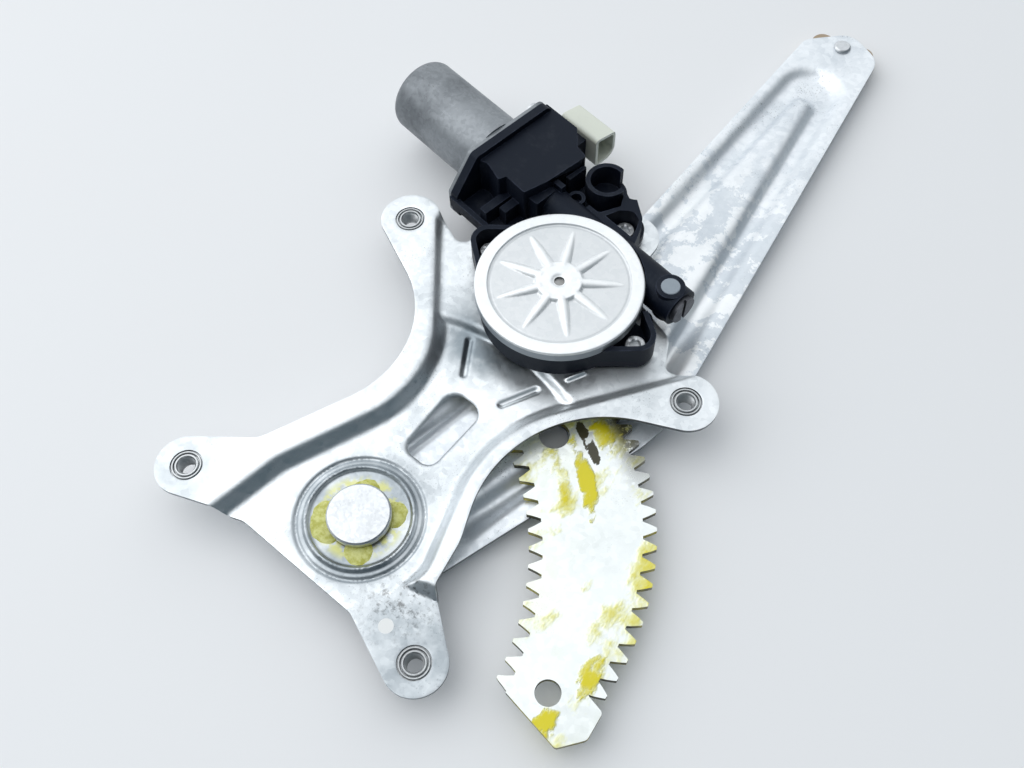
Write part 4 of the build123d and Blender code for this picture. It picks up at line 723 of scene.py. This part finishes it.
# painted shade and old grease: every upright face, the teeth's flanks and the strip's cut edges, goes brown
# to ochre
walls = between(tree, level(tree), 0.60, 0.30)
flank_grease_and_shade = blended(tree, between(tree, noise(tree, where, 95.0, 4.0), 0.42, 0.60), *GREASE_AND_SHADE_TONES)
greased = blended(tree, walls, greased, flank_grease_and_shade)
greased = blended(tree, soot, greased, SOOT_TONE)
tree.links.new(greased, surface.inputs["Base Color"])
dry = maths(tree, "SUBTRACT", 1.0, maths(tree, "MAXIMUM", grease, soot))
tree.links.new(times(tree, dry, 0.9), surface.inputs["Metallic"])
wet = plus(tree, times(tree, coat.outputs["Roughness"], dry), times(tree, grease, 0.28))
tree.links.new(wet, surface.inputs["Roughness"])
bumped(tree, surface, plus(tree, times(tree, thick, 1.0), times(tree, grease, 0.4)), 0.0003)
sector = copied("sector_gear", "sector_stamping", 0.00022)
settle(sector, "lift_arm", "sector_gear", sector_zinc)

# ---- gear cover ----------------------------------------------------------
# A drawn cap of bright zinc-plated steel over the worm wheel, with a fine step inside its rim, nine
# petal-shaped ribs run out of a raised hub, and a dimpled hole at the middle for the shaft.
COVER_LOW, COVER_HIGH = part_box("gear_cover")
COVER_X = (COVER_LOW.x + COVER_HIGH.x) / 2
COVER_Y = (COVER_LOW.y + COVER_HIGH.y) / 2
COVER_R = (COVER_HIGH.x - COVER_LOW.x) / 2 / MM
COVER_DEPTH = 5.0
COVER_RIM_Z = COVER_LOW.z / MM + COVER_DEPTH
COVER_SHEET = 1.0
COVER_STEP_R = 29.4
COVER_STEP = 0.9
COVER_STEP_RUN = (-0.1, 0.45)   # where the step begins and ends, from its radius
COVER_GROOVE = 0.45
COVER_GROOVE_R = COVER_STEP_R - 0.75
COVER_GROOVE_HALF = 0.7
HUB_R = 10.6
HUB_SLOPE_W = 1.6
HUB_H = 1.7
HUB_HOLE_R = 2.2
HUB_DIMPLE_R = 4.4
HUB_DIMPLE = 0.8
PETALS = 9
PETAL_TURN = math.radians(35.5)
PETAL_FROM = 8.0
PETAL_TO = 26.6
PETAL_HALF = 2.55
PETAL_H = 1.9
PETAL_LEAD = 1.5                # over which a petal grows out of the hub
PETAL_BEND = 0.5
COVER_CORNER = 0.9
COVER_SPOKES = 360


def smooth(value, low, high):
    """Smooth step of values from 0 at low to 1 at high."""
    share = np.clip((value - low) / (high - low), 0, 1)
    return share * share * (3 - 2 * share)


def cover_height(r, turn):
    """Height of the cover's face, in mm, at a radius in mm and a turn."""
    field = COVER_RIM_Z - COVER_STEP
    z = field + COVER_STEP * smooth(r, COVER_STEP_R + COVER_STEP_RUN[0], COVER_STEP_R + COVER_STEP_RUN[1])
    z = z - COVER_GROOVE * swell(r - COVER_GROOVE_R, COVER_GROOVE_HALF)
    z = z + HUB_H * (1 - smooth(r, HUB_R - HUB_SLOPE_W, HUB_R))
    sector = 2 * math.pi / PETALS
    off = (turn - PETAL_TURN + sector / 2) % sector - sector / 2
    along, across = r * np.cos(off), r * np.sin(off)
    share = np.clip((along - PETAL_FROM) / (PETAL_TO - PETAL_FROM), 0, 1)
    half = PETAL_HALF * np.sqrt(np.maximum(1 - share**1.6, 1e-6))
    petal = PETAL_H * (1 - share) ** 0.55 * np.clip(1 - (across / half) ** 2, 0, 1) ** 0.8
    petal = np.where(along > PETAL_FROM - PETAL_LEAD, petal, 0)
    petal = petal * smooth(along, PETAL_FROM - PETAL_LEAD, PETAL_FROM)
    z = upper(z, field + petal, PETAL_BEND)
    return z - HUB_DIMPLE * (1 - smooth(r, HUB_HOLE_R, HUB_DIMPLE_R)) ** 2


def ring_faces(rings, around):
    """Faces between rings of as many points each."""
    faces = []
    for ring in range(rings - 1):
        inner, outer = ring * around, (ring + 1) * around
        for k in range(around):
            ahead = (k + 1) % around
            faces.append((inner + k, outer + k, outer + ahead, inner + ahead))
    return faces


cover_radii = np.concatenate([
    np.linspace(HUB_HOLE_R, HUB_DIMPLE_R, 6), np.linspace(5.0, COVER_STEP_R - 1.6, 60),
    np.linspace(COVER_STEP_R - 1.4, COVER_STEP_R + 0.55, 14), np.linspace(30.6, COVER_R - COVER_CORNER, 5),
])
turns = np.arange(COVER_SPOKES) * 2 * math.pi / COVER_SPOKES
rings = [(r, cover_height(np.full(COVER_SPOKES, r), turns)) for r in cover_radii]
for bend in np.linspace(0.25, 1, 4) * math.pi / 2:
    drop = COVER_CORNER * (1 - math.cos(bend))
    reach = COVER_R - COVER_CORNER + COVER_CORNER * math.sin(bend)
    rings.append((reach, np.full(COVER_SPOKES, COVER_RIM_Z - drop)))
rings.append((COVER_R, np.full(COVER_SPOKES, COVER_LOW.z / MM)))
vertices = np.concatenate([
    np.column_stack([COVER_X + r * MM * np.cos(turns), COVER_Y + r * MM * np.sin(turns), z * MM])
    for r, z in rings
])
cover = new_piece("cover_cap", vertices, ring_faces(len(rings), COVER_SPOKES))
thickened(cover, COVER_SHEET * MM)
cover_zinc, tree, surface, coat = zinc(
    "cover_zinc", metallic=0.6, Bright=(0.97, 0.98, 0.985, 1), Dull=(0.72, 0.76, 0.78, 1), Stain=0.10,
    Specks=0.10, Roughness=0.34,
)
# painted shade: the skirt below the rim is darkened, standing in for the shade and dark reflections on it
SKIRT_SHADE_TONE = (0.16, 0.19, 0.22, 1)
SKIRT_FULL, SKIRT_END = (COVER_RIM_Z - 1.4) * MM, (COVER_RIM_Z - 0.4) * MM
skirt_shade = between(tree, axes(tree, own_place(tree))[2], SKIRT_FULL, SKIRT_END, 0.85, 0.0)
tree.links.new(blended(tree, skirt_shade, coat.outputs["Color"], SKIRT_SHADE_TONE), surface.inputs["Base Color"])
settle(finished(cover), "base", "gear_cover", cover_zinc)

# ---- gear housing --------------------------------------------------------
# One moulding of black glass-filled plastic: wheel case, worm tunnel, three screwed lugs and the
# brush box. Its face is satin with a faint flow grain, its edges are rubbed paler and dust lies in it.
DUST_TONE = (0.07, 0.075, 0.085, 1)
WORN_EDGE = 0.0007              # radius that finds the edges
PLASTIC_BUMP = 0.00003
SHEEN_TONE = (0.72, 0.84, 1.0, 1)
plastic_look, given, out = new_group(
    "plastic_look",
    [("Base", "NodeSocketColor", (0.004, 0.006, 0.013, 1)),
     ("Worn", "NodeSocketColor", (0.045, 0.055, 0.085, 1)), ("Wear", "NodeSocketFloat", 0.8),
     ("Dust", "NodeSocketFloat", 0.25), ("Roughness", "NodeSocketFloat", 0.42)],
    [("Color", "NodeSocketColor"), ("Roughness", "NodeSocketFloat"), ("Height", "NodeSocketFloat")],
)
tree = plastic_look
where = own_place(tree)
soft = put(tree, "ShaderNodeBevel", {"Radius": WORN_EDGE}, samples=4).outputs["Normal"]
flat_way = put(tree, "ShaderNodeNewGeometry").outputs["Normal"]
meet = put(tree, "ShaderNodeVectorMath", {0: soft, 1: flat_way}, operation="DOT_PRODUCT").outputs["Value"]
rub = between(tree, meet, 0.985, 0.90)
rub = times(tree, rub, between(tree, noise(tree, where, 260.0, 4.0), 0.35, 0.62))
rub = times(tree, rub, given["Wear"], clamp=True)
dust = between(tree, noise(tree, where, 70.0, 6.0, 0.7), 0.50, 0.75)
dust = times(tree, dust, given["Dust"])
body = blended(tree, dust, given["Base"], DUST_TONE)
tree.links.new(blended(tree, rub, body, given["Worn"]), out["Color"])
grain = noise(tree, where, 2600.0, 2.0)
rough = plus(tree, given["Roughness"], times(tree, dust, 0.6))
tree.links.new(plus(tree, rough, times(tree, grain, 0.1)), out["Roughness"])
tree.links.new(grain, out["Height"])


def plastic(name, shine=0.5, **look):
    """Moulded plastic: its shared look, with this piece's own values."""
    return coated(
        name, plastic_look, look, PLASTIC_BUMP, Specular_IOR_Level=shine, Specular_Tint=SHEEN_TONE
    )[0]


black = plastic("black_plastic", shine=0.22, Roughness=0.46)
settle(copied("gear_housing", "housing_moulding", 0.00035), "base", "gear_housing", black)

# ---- motor can -----------------------------------------------------------
# Deep-drawn zinc-plated steel, dull and blotchy, its closed end rounded; a flange at the open end is
# screwed to the housing's rim.
can_zinc = zinc(
    "can_zinc", metallic=0.8, Bright=(0.30, 0.32, 0.34, 1), Dull=(0.17, 0.185, 0.20, 1), Crystal=650.0,
    Stain=0.8, Specks=0.9, Roughness=0.42,
)[0]
settle(copied("motor_can", "can_drawing", 0.0003), "base", "motor_can", can_zinc)

# ---- connector -----------------------------------------------------------
# The socket is moulded in pale greenish nylon, a little glossy, with tinned blades inside.
ivory = plastic(
    "ivory_nylon", Base=(0.74, 0.76, 0.66, 1), Worn=(0.84, 0.85, 0.78, 1), Wear=0.5, Dust=0.05, Roughness=0.34
)
shell = copied("connector_shell", "connector_moulding", 0.0003)
settle(shell, "base", "connector_shell", ivory)

# ---- guide shoe ----------------------------------------------------------
# Brown nylon on the arm's tip pin, a little askew; it turns freely and its ends show past the tip.
SHOE_TILT = math.radians(10.0)
SHOE_SHARE = 0.88               # of the shoe's length once its ends have worn
shoe_nylon = plastic(
    "shoe_nylon", Base=(0.40, 0.30, 0.20, 1), Worn=(0.55, 0.45, 0.33, 1), Wear=0.5, Dust=0.15, Roughness=0.4
)
shoe = copied("guide_shoe", "shoe_moulding", 0.0003)
shoe_middle = sum(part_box("guide_shoe"), Vector()) / 2
to_shoe = Matrix.Translation(shoe_middle) @ Matrix.Rotation(SHOE_TILT, 4, "Z")
shoe.data.transform(to_shoe @ Matrix.Diagonal((SHOE_SHARE, 1, 1, 1)) @ to_shoe.inverted())
settle(shoe, "guide_shoe", "guide_shoe", shoe_nylon)

# ---- vent plug -----------------------------------------------------------
# A flat disc of grey plastic pressed into the boss on the worm's tunnel.
plug_grey = plastic(
    "plug_grey", Base=(0.30, 0.34, 0.38, 1), Worn=(0.4, 0.44, 0.48, 1), Wear=0.4, Dust=0.2, Roughness=0.45
)
settle(copied("vent_plug", "plug_disc", 0.00015), "base", "vent_plug", plug_grey)

# ---- grease round the pivot ----------------------------------------------
# Yellow-green grease pressed out from under the pivot's head in four soft blobs that lie on the dish.
GREASE_BLOBS = [                # turn, reach and half width, in degrees and mm
    (44.0, 16.6, 24), (-49.0, 17.4, 24), (-132.0, 17.8, 40), (122.0, 14.4, 26),
]
GREASE_H = 0.8
GREASE_SUNK = -0.25             # how deep the edge of a blob goes into the dish
GREASE_BODY = 0.3               # thickness of the skin that is left
GREASE_INNER = 12.0
GREASE_OUTER = 19.5
GREASE_RING_STEP = 0.45
GREASE_TURN_STEP = 2.0
grease_turns = np.radians(np.arange(0, 360, GREASE_TURN_STEP))
grease_spots = []
for r in np.arange(GREASE_INNER, GREASE_OUTER, GREASE_RING_STEP):
    grease_spots.append([(r * math.cos(t), r * math.sin(t)) for t in grease_turns])
grease_spots = np.array(grease_spots)
radii = np.hypot(grease_spots[..., 0], grease_spots[..., 1])
turns = np.degrees(np.arctan2(grease_spots[..., 1], grease_spots[..., 0]))
depth = np.full(radii.shape, -1.0)
for turn_at, reach, half in GREASE_BLOBS:
    off = (turns - turn_at + 180) % 360 - 180
    ragged = 1.0 * np.sin(off * 0.16 + turn_at) + 0.4 * np.sin(off * 0.53)
    length = reach + ragged * 0.4 - GREASE_INNER + 1.6
    fall = 1 - (off / half) ** 2 - (np.maximum(radii - GREASE_INNER, 0) / length) ** 2
    depth = np.maximum(depth, fall)
depth = GREASE_H * np.sign(depth) * np.abs(depth) ** 0.6
levels = plate_height(grease_spots.reshape(-1, 2)).reshape(radii.shape)
levels = levels + np.clip(depth, GREASE_SUNK, GREASE_H)
vertices = np.dstack([grease_spots, levels]).reshape(-1, 3) * MM
faces = [face for face in ring_faces(*radii.shape) if depth.ravel()[list(face)].max() > -0.2]
grease_mesh = new_piece("pivot_grease", vertices, faces)
with reshaped(grease_mesh.data) as shape:
    bmesh.ops.delete(shape, geom=[v for v in shape.verts if not v.link_faces], context="VERTS")
thickened(grease_mesh, GREASE_BODY * MM)
finished(grease_mesh, 80)
PIVOT_GREASE_TONES = ((0.44, 0.44, 0.07, 1), (0.66, 0.67, 0.24, 1))
grease_paint, tree, surface = shader("grease", Roughness=0.26, IOR=1.47)
streak = noise(tree, own_place(tree), 420.0, 4.0)
tone = blended(tree, between(tree, streak, 0.35, 0.65), *PIVOT_GREASE_TONES)
tree.links.new(tone, surface.inputs["Base Color"])
bumped(tree, surface, streak, 0.0002)
grease_mesh.data.materials.append(grease_paint)
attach(grease_mesh, "base")

# ---- nuts, screws and rivets ---------------------------------------------
# Clinch nuts with threaded bores in the ears, socket screws down in the lugs and the rivets of the
# sector: each is turned once and set out on its spots. The other headed pieces are copied as they are.
set_out = bpy.data.node_groups.new("set_out", "GeometryNodeTree")
for socket, way, kind in (
    ("Geometry", "INPUT", "NodeSocketGeometry"), ("Spots", "INPUT", "NodeSocketObject"),
    ("Finish", "INPUT", "NodeSocketMaterial"), ("Geometry", "OUTPUT", "NodeSocketGeometry"),
):
    set_out.interface.new_socket(socket, in_out=way, socket_type=kind)
given = set_out.nodes.new("NodeGroupInput").outputs
spots_in = put(set_out, "GeometryNodeObjectInfo", {"Object": given["Spots"]})
placed = put(set_out, "GeometryNodeInstanceOnPoints", {
    "Points": spots_in.outputs["Geometry"], "Instance": given["Geometry"],
})
real = put(set_out, "GeometryNodeRealizeInstances", {"Geometry": placed.outputs["Instances"]})
plated = put(set_out, "GeometryNodeSetMaterial", {
    "Geometry": real.outputs["Geometry"], "Material": given["Finish"],
})
set_out.links.new(plated.outputs["Geometry"], set_out.nodes.new("NodeGroupOutput").inputs["Geometry"])


def turned(name, rings, around=48):
    """Turned piece from rings of radius, height and number of flats, in mm, the last joined to the first
    or each end closed where its radius is nothing."""
    turns = np.arange(around) * 2 * math.pi / around
    vertices = []
    for radius, z, flats in rings:
        reach = np.full(around, float(radius))
        if flats:
            pitch = 2 * math.pi / flats
            reach = radius / np.cos((turns + pitch / 2) % pitch - pitch / 2)
        vertices += [(r * math.cos(t) * MM, r * math.sin(t) * MM, z * MM) for r, t in zip(reach, turns)]
    faces = []
    loop = rings[0][0] > 0
    for ring in range(len(rings) if loop else len(rings) - 1):
        lower_ring, upper_ring = ring * around, (ring + 1) % len(rings) * around
        for k in range(around):
            ahead = (k + 1) % around
            faces.append((lower_ring + k, lower_ring + ahead, upper_ring + ahead, upper_ring + k))
    piece = new_piece(name, vertices, faces)
    with reshaped(piece.data) as shape:
        bmesh.ops.remove_doubles(shape, verts=shape.verts, dist=1e-7)
        bmesh.ops.recalc_face_normals(shape, faces=shape.faces)
    return piece


def spread(piece, spots, finish, body, node):
    """Sets a turned piece out on spots, in metres, as one mesh on its body."""
    marks = new_piece(piece.name + "_spots", spots, [])
    modifier = piece.modifiers.new("set out", "NODES")
    modifier.node_group = set_out
    values = {"Spots": marks, "Finish": finish}
    for item in set_out.interface.items_tree:
        if item.name in values:
            modifier[item.identifier] = values[item.name]
    finished(piece)
    bpy.data.objects.remove(marks)
    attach(piece, body)
    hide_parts(node)


steel = zinc(
    "headed_steel", Bright=(0.70, 0.72, 0.74, 1), Dull=(0.42, 0.44, 0.46, 1), Crystal=900.0, Stain=0.25,
    Specks=0.3, Roughness=0.30,
)[0]
nut_zinc = zinc(
    "nut_zinc", Bright=(0.62, 0.64, 0.65, 1), Dull=(0.30, 0.31, 0.32, 1), Crystal=1100.0, Stain=0.3,
    Specks=0.5, Roughness=0.32,
)[0]
NUT_LOW = -7.5
NUT_RINGS = [                   # radius, height and number of flats
    (6.58, NUT_LOW, 6), (6.58, -1.65, 6), (6.45, -1.6, 0), (6.45, -0.9, 0), (6.05, -0.9, 0), (6.0, -0.1, 0),
    (5.8, 0.12, 0), (5.35, 0.12, 0), (5.2, -0.1, 0), (5.15, -1.5, 0), (4.75, -1.5, 0), (4.7, -0.1, 0),
    (4.5, 0.12, 0), (3.95, 0.12, 0), (3.7, -0.2, 0), (3.65, -0.7, 0),
]
THREAD_TURNS = 6
THREAD_PITCH = 1.0
THREAD_CREST = 3.1
THREAD_ROOT = 3.65
for k in range(THREAD_TURNS):
    NUT_RINGS += [(THREAD_CREST, -1.2 - k * THREAD_PITCH, 0), (THREAD_ROOT, -1.7 - k * THREAD_PITCH, 0)]
NUT_RINGS += [(3.6, NUT_LOW, 0)]
EAR_LEVELS = (RIM_Z, RIM_Z, LOW_EAR_Z, RIM_Z)
nut_spots = [(x * MM, y * MM, z * MM) for (x, y), z in zip(EAR_SPOTS, EAR_LEVELS)]
spread(turned("nuts_turned", NUT_RINGS), nut_spots, nut_zinc, "base", "clinch_nuts")

LUG_SCREW_RINGS = [
    (0, 1.6, 6), (2.05, 1.6, 6), (2.05, 3.2, 6), (2.35, 3.4, 0), (3.9, 3.4, 0), (4.2, 3.1, 0), (4.2, 0, 0),
    (2.5, 0, 0), (2.5, -8.2, 0), (2.2, -8.5, 0), (0, -8.5, 0),
]
lug_spots = [(x * MM, y * MM, RIM_Z * MM) for x, y in LUG_SPOTS]
lug_screw = turned("lug_screws_turned", LUG_SCREW_RINGS)
spread(lug_screw, lug_spots, steel, "base", "motor_screws")

RIVET_RINGS = [
    (0, 0, 0), (3.9, 0.0, 0), (4.7, 0.35, 0), (5.0, 1.0, 0), (5.0, 1.6, 0), (3.0, 1.6, 0), (3.0, 6.1, 0),
    (0, 6.1, 0),
]
rivet_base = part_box("sector_rivets")[0].z
rivet_spots = [(x * MM, y * MM, rivet_base) for x, y in ARM_RIVETS]
rivet = turned("rivets_turned", RIVET_RINGS, 36)
spread(rivet, rivet_spots, steel, "lift_arm", "sector_rivets")

# the pivot's broad flat head and washer, the tip pin and the can's screws
for node, body, slot in (
    ("pivot_pin", "lift_arm", "rivet_steel"), ("tip_pin", "lift_arm", "rivet_steel"),
    ("pivot_washer", "lift_arm", "rivet_steel"), ("can_screws", "base", "screw_steel"),
):
    settle(copied(node, node + "_headed", 0.00018), body, node, steel)

# ---- inside the motor and the gear case ----------------------------------
# Seen through the openings, from behind and when the part is taken apart: the pinion and its wheel,
# the armature, magnets and brushes, and the bearings.
end_steel = zinc(
    "end_screw_steel", metallic=0.7, Bright=(0.12, 0.125, 0.14, 1), Dull=(0.05, 0.05, 0.06, 1), Crystal=900.0
)[0]
settle(copied("end_screw", "end_screw_turned", 0.00025), "base", "end_screw", end_steel)
INNER_METALS = {                # bright and dull tone, crystals, stain and roughness
    "hardened_steel": ((0.36, 0.36, 0.36, 1), (0.16, 0.15, 0.13, 1), 1200.0, 0.6, 0.3),
    "ground_steel": ((0.62, 0.63, 0.65, 1), (0.45, 0.46, 0.48, 1), 1500.0, 0.1, 0.22),
    "core_sheets": ((0.28, 0.28, 0.30, 1), (0.16, 0.15, 0.15, 1), 1500.0, 0.5, 0.4),
    "sintered_bronze": ((0.62, 0.44, 0.22, 1), (0.36, 0.25, 0.12, 1), 2200.0, 0.4, 0.42),
    "turned_copper": ((0.72, 0.38, 0.22, 1), (0.42, 0.22, 0.13, 1), 1500.0, 0.3, 0.3),
    "tinned_brass": ((0.72, 0.64, 0.42, 1), (0.50, 0.44, 0.28, 1), 1500.0, 0.2, 0.3),
}
inner = {}
for name, (bright, dull, crystals, stain, rough) in INNER_METALS.items():
    inner[name] = zinc(name, Bright=bright, Dull=dull, Crystal=crystals, Stain=stain, Roughness=rough)[0]
ferrite = plastic("ferrite", Base=(0.05, 0.05, 0.055, 1), Worn=(0.14, 0.14, 0.15, 1), Wear=0.6, Roughness=0.6)
carbon = plastic("carbon", Base=(0.03, 0.03, 0.03, 1), Worn=(0.10, 0.10, 0.10, 1), Wear=0.4, Roughness=0.55)
acetal = plastic(
    "acetal", Base=(0.78, 0.76, 0.68, 1), Worn=(0.85, 0.84, 0.78, 1), Wear=0.3, Dust=0.1, Roughness=0.35
)
for node, material in (
    ("output_pinion", inner["hardened_steel"]), ("worm_wheel", acetal),
    ("armature_shaft", inner["ground_steel"]), ("armature_core", inner["core_sheets"]),
    ("commutator", inner["turned_copper"]), ("magnets", ferrite), ("brush_holder", black),
    ("brushes", carbon), ("rear_bearing", inner["sintered_bronze"]),
    ("shaft_bushes", inner["sintered_bronze"]), ("pivot_bush", inner["sintered_bronze"]),
    ("connector_pins", inner["tinned_brass"]),
):
    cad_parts[node].data.materials.clear()
    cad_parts[node].data.materials.append(material)
